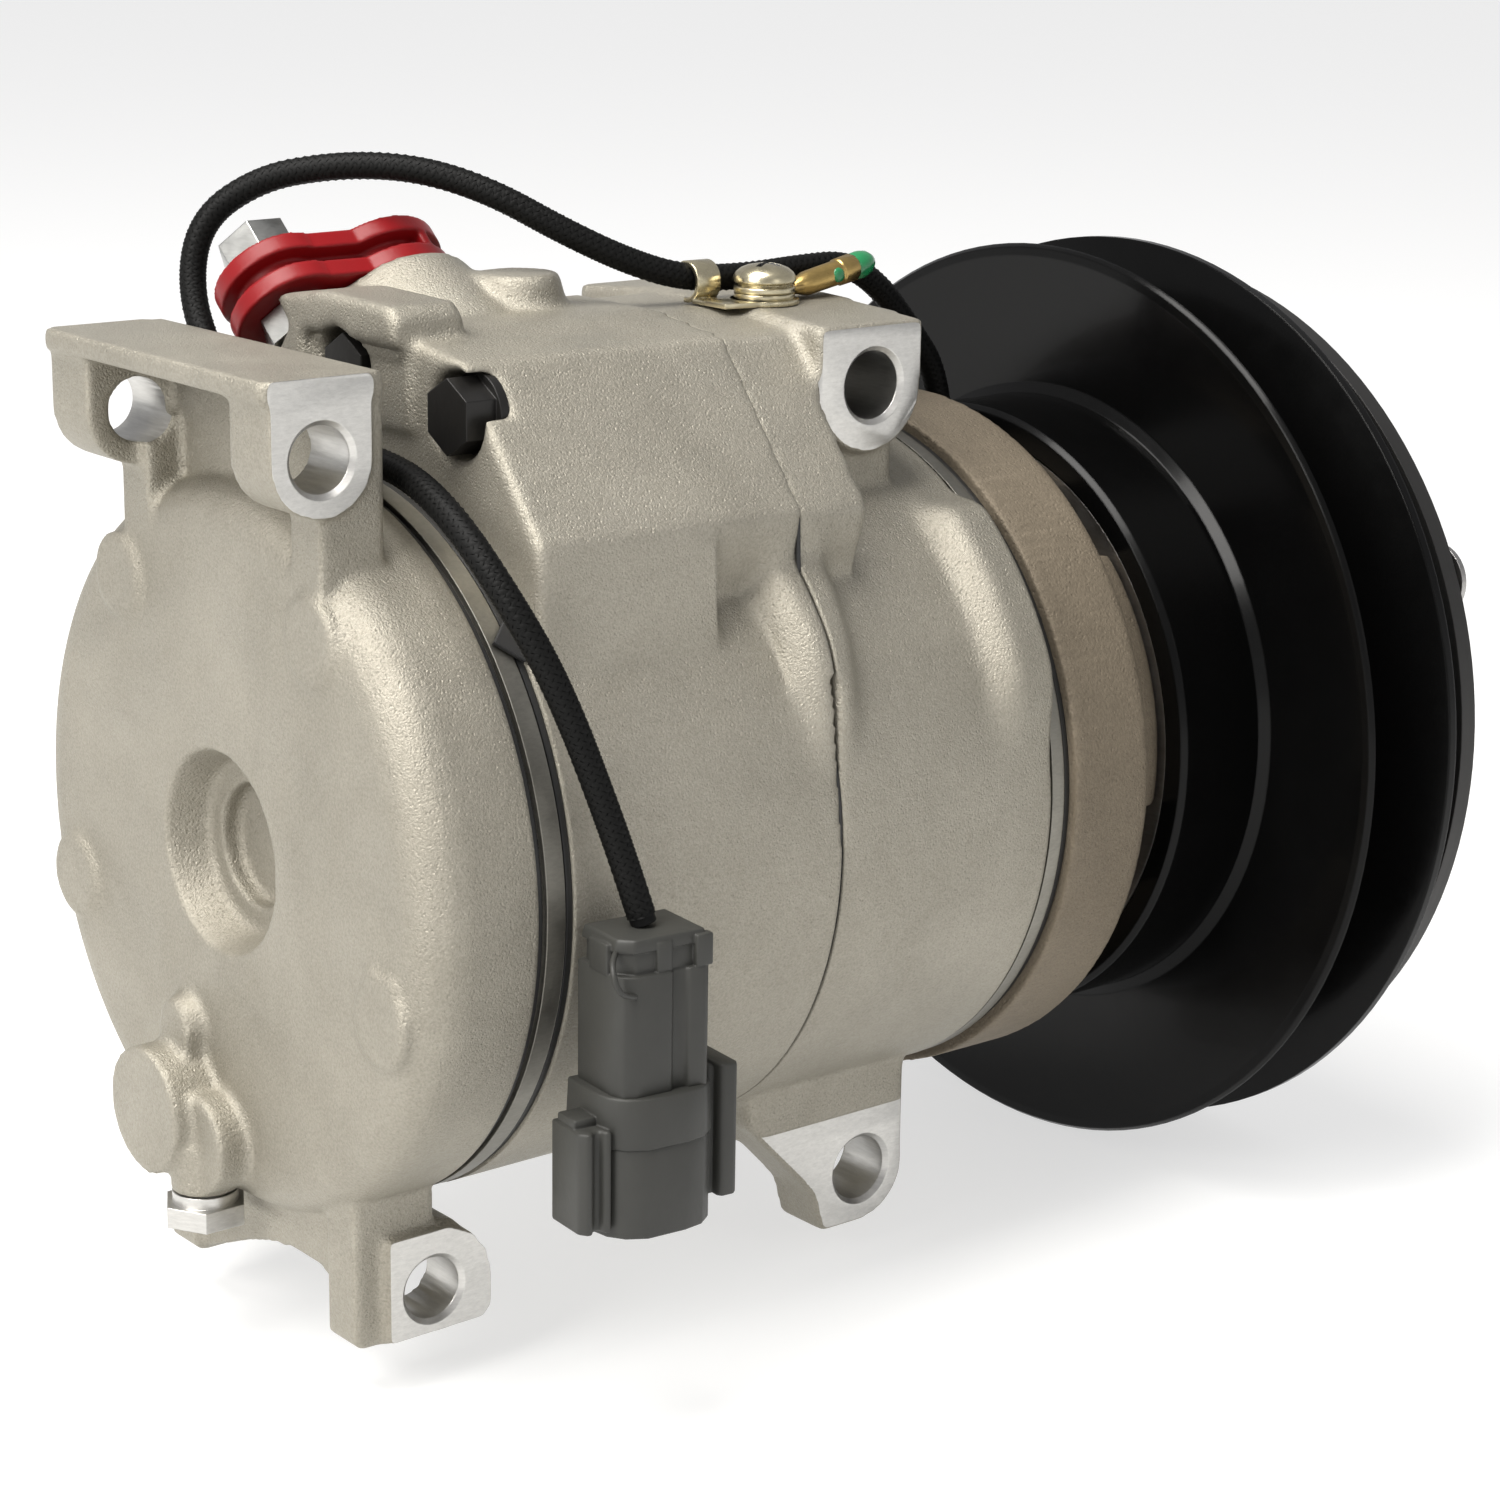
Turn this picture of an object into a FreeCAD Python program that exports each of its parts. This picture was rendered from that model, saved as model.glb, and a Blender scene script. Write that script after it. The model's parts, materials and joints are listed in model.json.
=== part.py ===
import FreeCAD, Part
import math
import os
import re
import Sketcher
from FreeCAD import Placement, Rotation, Vector

# Ten-cylinder swash-plate refrigerant compressor with an electromagnetic clutch and a single V-groove pulley.
# Millimetres. +X runs along the shaft towards the clutch, +Y to the side, +Z up.
# The origin is on the shaft's axis in the middle plane of the V groove.
# A radius is measured from the shaft's axis unless it says otherwise; an angle runs from +Y towards +Z.

SIZES = {
    # pulley and rotor
    "PulleyRadius": 76,
    "GrooveHalfWidth": 8.75,
    "GrooveFloorRadius": 62,
    "GrooveAngle": 18,
    "RimLand": 2,
    "FaceRadius": 69,
    "FrictionFace": 16.5,
    "RotorRear": -24.9,
    "RotorRadius": 51,
    "RotorBore": 47,
    "FluxWall": 7.2,
    # armature and hub
    "AirGap": 0.5,
    "ArmatureRadius": 71.5,
    "ArmatureBore": 30,
    "ArmatureThickness": 3.8,
    "RimRivetRadius": 66,
    "ArmRadius": 42,
    "SpringThickness": 1,
    "HubPlateFront": 25.2,
    # field coil
    "CoilFloor": -24.3,
    "CoilOuter": 46.4,
    "CoilInner": 33.5,
    "CoilWall": 2,
    "CoilFront": 8,
    # pulley bearing
    "BearingBore": 20,
    "BearingOuter": 31,
    "BearingRear": -14.5,
    "BearingFront": 9.5,
    "BearingBallRadius": 2.8,
    # body
    "BodyRadius": 53.5,
    "RearFace": -168,
    "RearSeamBack": -150.5,
    "RearSeamFront": -144.5,
    "MiddleSeam": -97,
    "FrontSeamBack": -56,
    "FrontSeamFront": -51.7,
    "HousingRadius": 54.8,
    "Shoulder": -36.9,
    "NoseRadius": 45.7,
    # inner works
    "BoreCircle": 33,
    "BoreRadius": 16,
    "BoltCircle": 43.5,
    "BoltRadius": 3,
    "DowelCircle": 49.6,
    "DowelRadius": 1.6,
    "SwashCentre": -100.25,
    "SwashRadius": 39.4,
    "SwashThickness": 12,
    "SwashAngle": 16.3,
    "ChamberHalf": 18.5,
    "ChamberRadius": 42,
    "ShaftRadius": 8,
    "PistonHalf": 34.3,
    "PistonClearance": 0.05,
    "NotchHalf": 28,
    "CupRadius": 12.5,
    # mounting ears
    "EarHalfSpan": 30,
    "EarThickness": 11,
    "RearHoleRadius": 4.5,
    "FrontHoleRadius": 5,
    "FarFoot": 26.1,
    "ValveX": -170,
    "ValveY": 3,
    # top saddle
    "SaddleRear": -143,
    "SaddleFront": -84,
    "SaddleTop": 73.2,
    # cable, its clip and its connector
    "CableRadius": 2,
    "PortReach": 17.4,
    "ClipX": -78,
    "ClipY": -10.4,
    "ClipSeat": 72.8,
    "ConnectorX": -138.8,
    "ConnectorY": -61.5,
}
CYLINDERS = 5
BORE_ANGLES = [90 + 72 * number for number in range(CYLINDERS)]
BOLT_ANGLES = [54 + 72 * number for number in range(CYLINDERS)]

doc = FreeCAD.newDocument("Compressor")
sheet = doc.addObject("Spreadsheet::Sheet", "Sizes")
for row, (alias, number) in enumerate(SIZES.items(), start=1):
    sheet.set("A%d" % row, alias)
    sheet.set("B%d" % row, str(number))
    sheet.setAlias("B%d" % row, alias)
doc.recompute()

nodes = []


# ---------------------------------------------------------------- helpers

def bound(text):
    """The expression with the sheet's name put before each alias."""
    return re.sub(r"[A-Z][A-Za-z]+", r"Sizes.\g<0>", str(text))


def measure(text):
    """The number that an expression comes to."""
    return float(sheet.evalExpression(bound(text)))


def bind(thing, **properties):
    """Ties properties to expressions; Placement_Base_x means Placement.Base.x."""
    for name, text in properties.items():
        thing.setExpression(name.replace("_", "."), bound(text))


def node(label, thing):
    """Marks a finished sub-part: its label is its file's name."""
    thing.Label = label
    nodes.append(thing)
    return thing


def draw(sketch, corners):
    """A closed outline of straight sides whose corners are bound to the sheet."""
    places = [(measure(u), measure(v)) for u, v in corners]
    count = len(places)
    for index, (u, v) in enumerate(places):
        after = places[(index + 1) % count]
        sketch.addGeometry(Part.LineSegment(Vector(u, v, 0), Vector(after[0], after[1], 0)), False)
    for index in range(count):
        sketch.addConstraint(Sketcher.Constraint("Coincident", index, 2, (index + 1) % count, 1))
    for index, (u, v) in enumerate(corners):
        for kind, text, value in (("DistanceX", u, places[index][0]), ("DistanceY", v, places[index][1])):
            number = sketch.addConstraint(Sketcher.Constraint(kind, -1, 1, index, 1, value))
            sketch.setExpression("Constraints[%d]" % number, bound(text))


def turned(name, corners, y="0", z="0"):
    """A body turned about a line parallel to the shaft: corners are (x, radius)."""
    body = doc.addObject("PartDesign::Body", name)
    sketch = body.newObject("Sketcher::SketchObject", name + "_profile")
    plane = [feature for feature in body.Origin.OriginFeatures if feature.Role == "XY_Plane"][0]
    sketch.AttachmentSupport = (plane, [""])
    sketch.MapMode = "FlatFace"
    draw(sketch, corners)
    turn = body.newObject("PartDesign::Revolution", name + "_turn")
    turn.Profile = sketch
    turn.ReferenceAxis = (sketch, ["H_Axis"])
    turn.Angle = 360
    bind(body, Placement_Base_y=y, Placement_Base_z=z)
    return body


def washer(name, start, end, inner, outer):
    """A flat ring about the shaft's axis."""
    return turned(name, [(start, inner), (end, inner), (end, outer), (start, outer)])


ALONG = {"x": Rotation(Vector(0, 1, 0), 90), "y": Rotation(Vector(1, 0, 0), -90), "z": Rotation()}


def rod(name, axis, start, end, radius, x="0", y="0", z="0"):
    """A cylinder along one axis, from start to end."""
    piece = doc.addObject("Part::Cylinder", name)
    piece.Placement = Placement(Vector(), ALONG[axis])
    base = {"x": x, "y": y, "z": z}
    base[axis] = start
    bind(piece, Radius=radius, Height="(%s) - (%s)" % (end, start))
    bind(piece, Placement_Base_x=base["x"], Placement_Base_y=base["y"], Placement_Base_z=base["z"])
    return piece


def cone(name, axis, start, end, first, last, x="0", y="0", z="0"):
    """A cone along one axis, from radius first at start to radius last at end."""
    piece = doc.addObject("Part::Cone", name)
    piece.Placement = Placement(Vector(), ALONG[axis])
    base = {"x": x, "y": y, "z": z}
    base[axis] = start
    bind(piece, Radius1=first, Radius2=last, Height="(%s) - (%s)" % (end, start))
    bind(piece, Placement_Base_x=base["x"], Placement_Base_y=base["y"], Placement_Base_z=base["z"])
    return piece


def hexagon(name, axis, start, end, corner_radius, x="0", y="0", z="0"):
    """A hexagonal prism along one axis."""
    piece = doc.addObject("Part::Prism", name)
    piece.Polygon = 6
    piece.Placement = Placement(Vector(), ALONG[axis])
    base = {"x": x, "y": y, "z": z}
    base[axis] = start
    bind(piece, Circumradius=corner_radius, Height="(%s) - (%s)" % (end, start))
    bind(piece, Placement_Base_x=base["x"], Placement_Base_y=base["y"], Placement_Base_z=base["z"])
    return piece


def block(name, x, y, z):
    """A box given by its two ends along each axis."""
    piece = doc.addObject("Part::Box", name)
    bind(piece, Length="(%s) - (%s)" % (x[1], x[0]), Width="(%s) - (%s)" % (y[1], y[0]))
    bind(piece, Height="(%s) - (%s)" % (z[1], z[0]))
    bind(piece, Placement_Base_x=x[0], Placement_Base_y=y[0], Placement_Base_z=z[0])
    return piece


def put(piece, placement):
    """Sets a primitive at a free angle, in place of its bound position."""
    for way in "xyz":
        piece.setExpression("Placement.Base." + way, None)
    piece.Placement = placement
    return piece


# the sketch's own axes for an outline seen along each axis
FACING = {
    "x": Rotation(Vector(0, 1, 0), Vector(0, 0, 1), Vector(1, 0, 0)),
    "y": Rotation(Vector(1, 0, 0), Vector(0, 0, 1), Vector(0, -1, 0)),
    "z": Rotation(),
}
TOWARDS = {"x": Vector(1, 0, 0), "y": Vector(0, 1, 0), "z": Vector(0, 0, 1)}


def plate(name, axis, corners, start, end):
    """A straight-sided outline drawn through one axis and extruded from start to end."""
    sketch = doc.addObject("Sketcher::SketchObject", name + "_outline")
    sketch.Placement = Placement(Vector(), FACING[axis])
    draw(sketch, corners)
    bind(sketch, **{"Placement_Base_" + axis: start})
    piece = doc.addObject("Part::Extrusion", name)
    piece.Base = sketch
    piece.DirMode = "Custom"
    piece.Dir = TOWARDS[axis]
    piece.Solid = True
    bind(piece, LengthFwd="(%s) - (%s)" % (end, start))
    return piece


def fused(name, pieces):
    whole = doc.addObject("Part::MultiFuse", name)
    whole.Shapes = pieces
    whole.Refine = True
    return whole


def common(name, pieces):
    whole = doc.addObject("Part::MultiCommon", name)
    whole.Shapes = pieces
    return whole


def carved(name, base, tools):
    """The base with every tool cut away."""
    whole = doc.addObject("Part::Cut", name)
    whole.Base = base
    whole.Tool = tools[0] if len(tools) == 1 else fused(name + "_tools", tools)
    return whole


def group(name, pieces):
    """Identical separate solids that share one node."""
    whole = doc.addObject("Part::Compound", name)
    whole.Links = pieces
    return whole


def polar(radius, angle):
    """The (y, z) expressions of a point at a radius and an angle in degrees."""
    return "(%s) * cos(%g)" % (radius, angle), "(%s) * sin(%g)" % (radius, angle)


def stack_holes(name, start, end):
    """Holes for the five through bolts and the two dowels."""
    tools = []
    for number, angle in enumerate(BOLT_ANGLES, start=1):
        y, z = polar("BoltCircle", angle)
        tools.append(rod("%s_bolt_hole_%d" % (name, number), "x", start, end, "BoltRadius + 0.3", y=y, z=z))
    for number, angle in enumerate(DOWEL_ANGLES, start=1):
        y, z = polar("DowelCircle", angle)
        tools.append(rod("%s_dowel_hole_%d" % (name, number), "x", start, end, "DowelRadius", y=y, z=z))
    return tools


DOWEL_ANGLES = (36, 216)


# ---------------------------------------------------------------- mounting ears

def ear_pair(name, hole_x, hole_z, hole_radius, round_radius, outline):
    """Two ears either side of the middle plane: a rounded end about the hole and a straight-sided root."""
    pieces = []
    spans = (("near", "-EarHalfSpan", "EarThickness - EarHalfSpan"),
             ("far", "EarHalfSpan - EarThickness", "EarHalfSpan"))
    for side, start, end in spans:
        pieces.append(rod("%s_%s_end" % (name, side), "y", start, end, round_radius, x=hole_x, z=hole_z))
        pieces.append(plate("%s_%s_root" % (name, side), "y", outline, start, end))
    hole = rod(name + "_hole", "y", "-EarHalfSpan - 1", "EarHalfSpan + 1", hole_radius, x=hole_x, z=hole_z)
    chamfers = [
        cone(name + "_near_chamfer", "y", "-EarHalfSpan - 0.01", "-EarHalfSpan + 0.6",
             "(%s) + 0.6" % hole_radius, hole_radius, x=hole_x, z=hole_z),
        cone(name + "_far_chamfer", "y", "EarHalfSpan - 0.6", "EarHalfSpan + 0.01",
             hole_radius, "(%s) + 0.6" % hole_radius, x=hole_x, z=hole_z),
    ]
    return pieces, [hole] + chamfers


# ---------------------------------------------------------------- rear housing

def rear_housing():
    """Rear cover casting: two gas chambers, stepped centre recess, bolt pads, valve boss and three-sided bracket."""
    edge = 6.5
    corner = []
    for step in range(5):
        turn = math.radians(90 * step / 4)
        corner.append(("RearFace + %g" % (edge * (1 - math.sin(turn))),
                       "BodyRadius - %g" % (edge * (1 - math.cos(turn)))))
    shell = turned("rear_shell", [
        ("RearFace + 9", "0"), ("RearFace + 9", "9"), ("RearFace + 6", "9"), ("RearFace + 6", "12.5"),
        ("RearFace", "15"),
    ] + corner[::-1] + [("RearSeamBack", "BodyRadius"), ("RearSeamBack", "0")])
    chambers = [
        washer("suction_chamber", "RearFace + 6", "RearSeamBack + 1", "19", "27"),
        washer("discharge_chamber", "RearFace + 6", "RearSeamBack + 1", "30", "38"),
    ]
    pads = []
    for number, angle in enumerate(BOLT_ANGLES, start=1):
        y, z = polar("BoltCircle + 0.8", angle)
        pads.append(rod("rear_bolt_pad_%d" % number, "x", "RearFace - 1", "RearFace + 9", "6.3", y=y, z=z))
    valve = [
        rod("valve_boss", "x", "RearFace - 8", "RearFace + 6", "9.5", y="10.2", z="-40.4"),
        rod("valve_lobe", "x", "RearFace - 5", "RearFace + 6", "7.4", y="0.6", z="-43.4"),
        rod("valve_seat", "z", "-51.4", "-44", "4.9", x="ValveX", y="ValveY"),
        cone("valve_dome", "x", "RearFace - 3.2", "RearFace + 6", "3.6", "7.6", y="9.4", z="-28"),
        block("valve_ridge", ("RearFace - 3.2", "RearFace + 4"), ("5.2", "13.6"), ("-40", "-28")),
    ]
    # the lower near pad runs out to the rim
    pads.append(block("pad_arm", ("RearFace - 1", "RearFace + 9"), ("-46", "-38.4"), ("-19.4", "-6.8")))
    # top bracket: two ears joined by a top bar and a cross web, standing on two pillars
    ears, ear_tools = ear_pair("rear_top", "-168.2", "61", "RearHoleRadius", "7.9", [
        ("-176.1", "61"), ("-160.3", "61"), ("-160.3", "72"), ("-176.1", "72")])
    frame = [
        block("top_bar", ("-177.4", "-158.3"), ("-EarHalfSpan + 0.8", "EarHalfSpan - 0.8"), ("69", "72")),
        block("cross_web", ("-162.3", "-157.8"), ("-28.6", "28.6"), ("42", "71")),
        block("near_pillar", ("-168", "-157.8"), ("-28.6", "-21"), ("36", "60")),
        block("far_pillar", ("-168", "-157.8"), ("17", "24.6"), ("36", "60")),
    ]
    # bottom ears reach forward under the cylinder block, with an arched web between them
    feet = []
    for side, inner, outer, pad in (("near", "-20.4", "-28", "-EarHalfSpan"), ("far", "16.5", "24.1", "FarFoot")):
        feet.append(plate("foot_%s" % side, "y", [
            ("-164", "-36"), ("-150.7", "-36"), ("-150.7", "-50.8"), ("-147", "-52"), ("-143.4", "-56.4"),
            ("-142.2", "-62"), ("-142.2", "-66"), ("-143.8", "-67.8"), ("-162.8", "-68.2"), ("-164", "-67")],
            inner, outer))
        feet.append(plate("foot_pad_%s" % side, "y", [
            ("-159.4", "-51.9"), ("-149.2", "-51.9"), ("-145.2", "-53.8"), ("-142.6", "-57.2"), ("-141.7", "-61"),
            ("-141.7", "-65.4"), ("-143.4", "-67.5"), ("-159.4", "-67.8")], inner, pad))
    foot_tools = [
        rod("foot_hole", "y", "-EarHalfSpan - 1", "FarFoot + 1", "RearHoleRadius", x="-151.8", z="-60.9"),
        cone("foot_near_chamfer", "y", "-EarHalfSpan - 0.01", "-EarHalfSpan + 0.6",
             "RearHoleRadius + 0.6", "RearHoleRadius", x="-151.8", z="-60.9"),
        cone("foot_far_chamfer", "y", "FarFoot - 0.6", "FarFoot + 0.01",
             "RearHoleRadius", "RearHoleRadius + 0.6", x="-151.8", z="-60.9"),
    ]
    web = plate("foot_web", "x", [
        ("-21", "-40"), ("-21", "-61"), ("-17", "-59.4"), ("-10", "-58.9"), ("-3", "-60"), ("4", "-62.2"),
        ("11", "-65.2"), ("17", "-67.6"), ("17", "-40")], "-162.6", "-157.4")
    body = fused("rear_casting", [shell] + pads + valve + ears + frame + feet + [web])
    recess = turned("centre_recess", [
        ("RearFace - 6", "0"), ("RearFace - 6", "15"), ("RearFace", "15"), ("RearFace + 6", "12.5"),
        ("RearFace + 6", "9"), ("RearFace + 9", "9"), ("RearFace + 9", "0")])
    threads = []
    for number, angle in enumerate(BOLT_ANGLES, start=1):
        y, z = polar("BoltCircle", angle)
        threads.append(rod("bolt_thread_%d" % number, "x", "RearSeamBack - 9.5", "RearSeamBack + 1",
                           "BoltRadius", y=y, z=z))
    for number, angle in enumerate(DOWEL_ANGLES, start=1):
        y, z = polar("DowelCircle", angle)
        threads.append(rod("rear_dowel_%d" % number, "x", "RearSeamBack - 3", "RearSeamBack + 1",
                           "DowelRadius", y=y, z=z))
    socket = rod("valve_socket", "z", "-53", "-41", "4", x="ValveX", y="ValveY")
    node("rear_housing", carved("rear_housing", body,
                                chambers + [recess, socket] + threads + ear_tools + foot_tools))


# ---------------------------------------------------------------- seams

def ported_disc(name, start, end, radius, ports):
    """A disc of the head stack with a shaft hole, bolt and dowel holes and its own ports."""
    disc = washer(name + "_disc", start, end, "10.6", radius)
    tools = stack_holes(name, "(%s) - 1" % start, "(%s) + 1" % end)
    for number, angle in enumerate(BORE_ANGLES, start=1):
        for label, circle, hole in ports:
            y, z = polar(circle, angle)
            tools.append(rod("%s_%s_%d" % (name, label, number), "x",
                             "(%s) - 1" % start, "(%s) + 1" % end, hole, y=y, z=z))
    return carved(name, disc, tools)


SUCTION = ("suction", "23", "3")
DISCHARGE = ("discharge", "34", "2.8")
BOTH = (SUCTION, DISCHARGE)


def gasket_tab():
    """A diamond of the gasket that lies over the joint on the outside, and the stem that holds it."""
    middle = Vector(measure("RearSeamFront") - 0.5, -40.3, 35.8)
    outward = Vector(0, middle.y, middle.z).normalize()
    lying = Placement(Vector(middle.x, 0, 0), Rotation(Vector(1, 0, 0), Vector(), outward, "ZXY"))
    diamond = block("tab_diamond", ("0", "5"), ("0", "5"), ("0", "0.7"))
    put(diamond, lying * Placement(Vector(0, 0, measure("BodyRadius") + 0.1), Rotation(Vector(0, 0, 1), 45))
        * Placement(Vector(-2.5, -2.5, 0), Rotation()))
    stem = block("tab_stem", ("0", "1"), ("0", "3"), ("0", "2"))
    put(stem, lying * Placement(Vector(-0.5, -1.5, measure("BodyRadius") - 1.6), Rotation()))
    return fused("gasket_tab", [diamond, stem])


def head_stacks():
    """Gaskets, reeds and valve plate at each end of the cylinder blocks."""
    stacks = (
        ("rear", "RearSeamBack", (("head_gasket", 1.0, "BodyRadius - 0.5"),
                                  ("discharge_reed", 0.5, "BodyRadius - 1.1"),
                                  ("valve_plate", 3.0, "BodyRadius - 0.1"),
                                  ("suction_reed", 0.5, "BodyRadius - 1.1"),
                                  ("block_gasket", 1.0, "BodyRadius - 0.5"))),
        ("front", "FrontSeamBack", (("suction_reed", 0.5, "BodyRadius - 1.1"),
                                    ("valve_plate", 2.4, "BodyRadius - 0.1"),
                                    ("discharge_reed", 0.5, "BodyRadius - 1.1"),
                                    ("head_gasket", 0.9, "BodyRadius - 0.5"))),
    )
    for end, start, layers in stacks:
        depth = 0.0
        for layer, thickness, radius in layers:
            name = "%s_%s" % (end, layer)
            near = "%s + %g" % (start, depth)
            far = "%s + %g" % (start, depth + thickness)
            ports = (SUCTION,) if layer == "discharge_reed" else (DISCHARGE,) if layer == "suction_reed" else BOTH
            disc = ported_disc(name + "_ported", near, far, radius, ports)
            node(name, fused(name, [disc, gasket_tab()]) if name == "rear_block_gasket" else disc)
            depth += thickness


# ---------------------------------------------------------------- cylinder blocks

def saddle(name, start, end, inset):
    """The muffler saddle on top of the blocks, seen along the shaft."""
    return plate(name, "x", [
        ("-44 + %g" % inset, "30"), ("-43.2 + %g" % inset, "48.3 - %g" % inset),
        ("-24.6 + %g" % inset, "71 - %g" % inset), ("-8", "SaddleTop - %g" % inset),
        ("10", "SaddleTop - %g" % inset), ("20.5 - %g" % inset, "70.5 - %g" % inset),
        ("37 - %g" % inset, "52.5 - %g" % inset), ("42 - %g" % inset, "32"), ("30", "20"), ("-30", "20")],
        start, end)


def rib(name, start, end, radius, first, last):
    """A raised band on the outside of a block between two angles."""
    ring = washer(name + "_ring", start, end, "BodyRadius - 4", radius)
    reach = 80
    wedge = plate(name + "_wedge", "x", [("0", "0")] + [
        ("%g" % (reach * math.cos(math.radians(angle))), "%g" % (reach * math.sin(math.radians(angle))))
        for angle in (first, (first + last) / 2, last)], start, end)
    return common(name, [ring, wedge])


def inner_tools(name, start, end, chamber_start, chamber_end, cup_start, cup_end):
    """Cylinder bores, swash chamber, bearing seat, shaft hole and bolt holes of one block."""
    tools = []
    for number, angle in enumerate(BORE_ANGLES, start=1):
        y, z = polar("BoreCircle", angle)
        tools.append(rod("%s_bore_%d" % (name, number), "x", "(%s) - 1" % start, "(%s) + 1" % end,
                         "BoreRadius", y=y, z=z))
    tools.append(rod(name + "_chamber", "x", chamber_start, chamber_end, "ChamberRadius"))
    tools.append(rod(name + "_cup_seat", "x", cup_start, cup_end, "CupRadius"))
    tools.append(rod(name + "_shaft_hole", "x", "(%s) - 1" % start, "(%s) + 1" % end, "ShaftRadius + 1"))
    return tools + stack_holes(name, "(%s) - 1" % start, "(%s) + 1" % end)


SADDLE_BOLTS = (("near", "-23.5", "63.6"), ("far", "2.6", "66.6"))


def rear_block():
    """Rear cylinder block with the rear half of the saddle, the port bosses and the screw pockets."""
    start, end = "RearSeamFront", "MiddleSeam - 0.3"
    solids = [
        rod("rear_barrel", "x", start, end, "BodyRadius"),
        saddle("rear_saddle", "SaddleRear", end, 0),
        rib("rear_rib", "-103", end, "BodyRadius + 5", 133, 153),
        plate("port_flange", "x", [
            ("-13", "60"), ("-13", "75.5"), ("-11", "77.3"), ("6", "77.7"), ("17.4", "76"), ("24.4", "68.4"),
            ("24.4", "60")], "SaddleRear - 3", "-134"),
        cone("second_port_boss", "z", "66", "78", "9", "6", x="-111.5", y="6"),
    ]
    boss = cone("port_boss", "z", "0", "16", "16.5", "12.4")
    capped(boss, PORT_REACH, 0, -16.1)
    trim = block("port_boss_trim", ("SaddleRear - 3", "-105"), ("-30", "40"), ("55", "100"))
    solids.append(common("port_boss_trimmed", [boss, trim]))
    tools = inner_tools("rear_block", start, end, "SwashCentre - ChamberHalf", "MiddleSeam + 1",
                        "RearSeamFront - 1", "RearSeamFront + 21")
    for side, y, z in SADDLE_BOLTS:
        tools.append(rod("screw_pocket_" + side, "x", "SaddleRear - 6", "SaddleRear + 5", "6.2", y=y, z=z))
        tools.append(rod("screw_hole_" + side, "x", "SaddleRear", "MiddleSeam + 1", "3.3", y=y, z=z))
    tools.append(block("flange_recess", ("SaddleRear - 4", "SaddleRear - 1"), ("-14", "11"), ("59", "71.6")))
    tools.append(block("rear_muffler", ("-134", "MiddleSeam + 1"), ("-19", "19"), ("55", "62")))
    port = rod("port_passage", "z", "0", "24", "6")
    tools.append(capped(port, PORT_REACH, 0, -22))
    tools.append(capped(rod("cap_nut_pocket", "z", "0", "5.5", "7"), 0, 0, -5.2))
    tools.append(capped(rod("cap_bolt_hole", "z", "0", "14", "3.3"), 0, 0, -12))
    node("rear_cylinder_block", carved("rear_cylinder_block", fused("rear_block_casting", solids), tools))


def front_block():
    """Front cylinder block with the front half of the saddle, the front top ear and the front bottom ears."""
    start, end = "MiddleSeam + 0.3", "FrontSeamBack"
    top_ear = common("front_top_ear", [
        fused("front_top_blank", [
            rod("front_top_end", "y", "-EarHalfSpan", "EarHalfSpan", "10.1", x="-73.1", z="62.4"),
            plate("front_top_root", "y", [("-83.2", "62.4"), ("-63", "62.4"), ("-63", "75"), ("-83.2", "75")],
                  "-EarHalfSpan", "EarHalfSpan")]),
        plate("front_top_crown", "x", [
            ("-EarHalfSpan", "50"), ("EarHalfSpan", "50"), ("EarHalfSpan", "71.5"), ("10", "SaddleTop"),
            ("-8", "SaddleTop"), ("-EarHalfSpan", "71.7")], "-84", "-62")])
    feet, foot_tools = ear_pair("front_bottom", "-71.2", "-62", "FrontHoleRadius", "8.8", [
        ("-71.2", "-70.8"), ("-62.6", "-62"), ("-62.6", "-36"), ("-94.5", "-36"),
        ("-94.2", "-50"), ("-81", "-64"), ("-79", "-70.8")])
    bulge_y, bulge_z = polar("BodyRadius - 27", 144)
    solids = [
        rod("front_barrel", "x", start, end, "BodyRadius"),
        saddle("front_saddle", start, "SaddleFront", 0.7),
        rib("front_rib", start, "-86", "BodyRadius + 5", 133, 153),
        cone("seam_bulge", "x", "-82", end, "26.5", "30.4", y=bulge_y, z=bulge_z),
        block("ear_neck", ("-88", "-66"), ("-27", "27"), ("30", "60")),
        block("foot_bridge", ("-92", "-64"), ("-20", "20"), ("-56", "-46")),
        top_ear,
    ] + feet
    tools = inner_tools("front_block", start, end, "MiddleSeam - 1", "SwashCentre + ChamberHalf",
                        "FrontSeamBack - 21", "FrontSeamBack + 1")
    tools.append(rod("front_top_hole", "y", "-EarHalfSpan - 1", "EarHalfSpan + 1", "FrontHoleRadius",
                     x="-72.5", z="62.4"))
    for side, first, last, small, large in (
            ("near", "-EarHalfSpan - 0.01", "-EarHalfSpan + 0.6", "FrontHoleRadius + 0.6", "FrontHoleRadius"),
            ("far", "EarHalfSpan - 0.6", "EarHalfSpan + 0.01", "FrontHoleRadius", "FrontHoleRadius + 0.6")):
        tools.append(cone("front_top_chamfer_" + side, "y", first, last, small, large, x="-72.5", z="62.4"))
    for side, y, z in SADDLE_BOLTS:
        tools.append(rod("screw_thread_" + side, "x", "MiddleSeam - 1", "-87", "BoltRadius", y=y, z=z))
    tools.append(rod("clip_thread", "z", "68.4", "80", "2.5", x="ClipX", y="ClipY"))
    tools.append(block("clip_seat", ("ClipX - 12", "ClipX + 7"), ("ClipY - 6", "ClipY + 13"), ("ClipSeat", "80")))
    node("front_cylinder_block",
         carved("front_cylinder_block", fused("front_block_casting", solids), tools + foot_tools))


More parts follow.
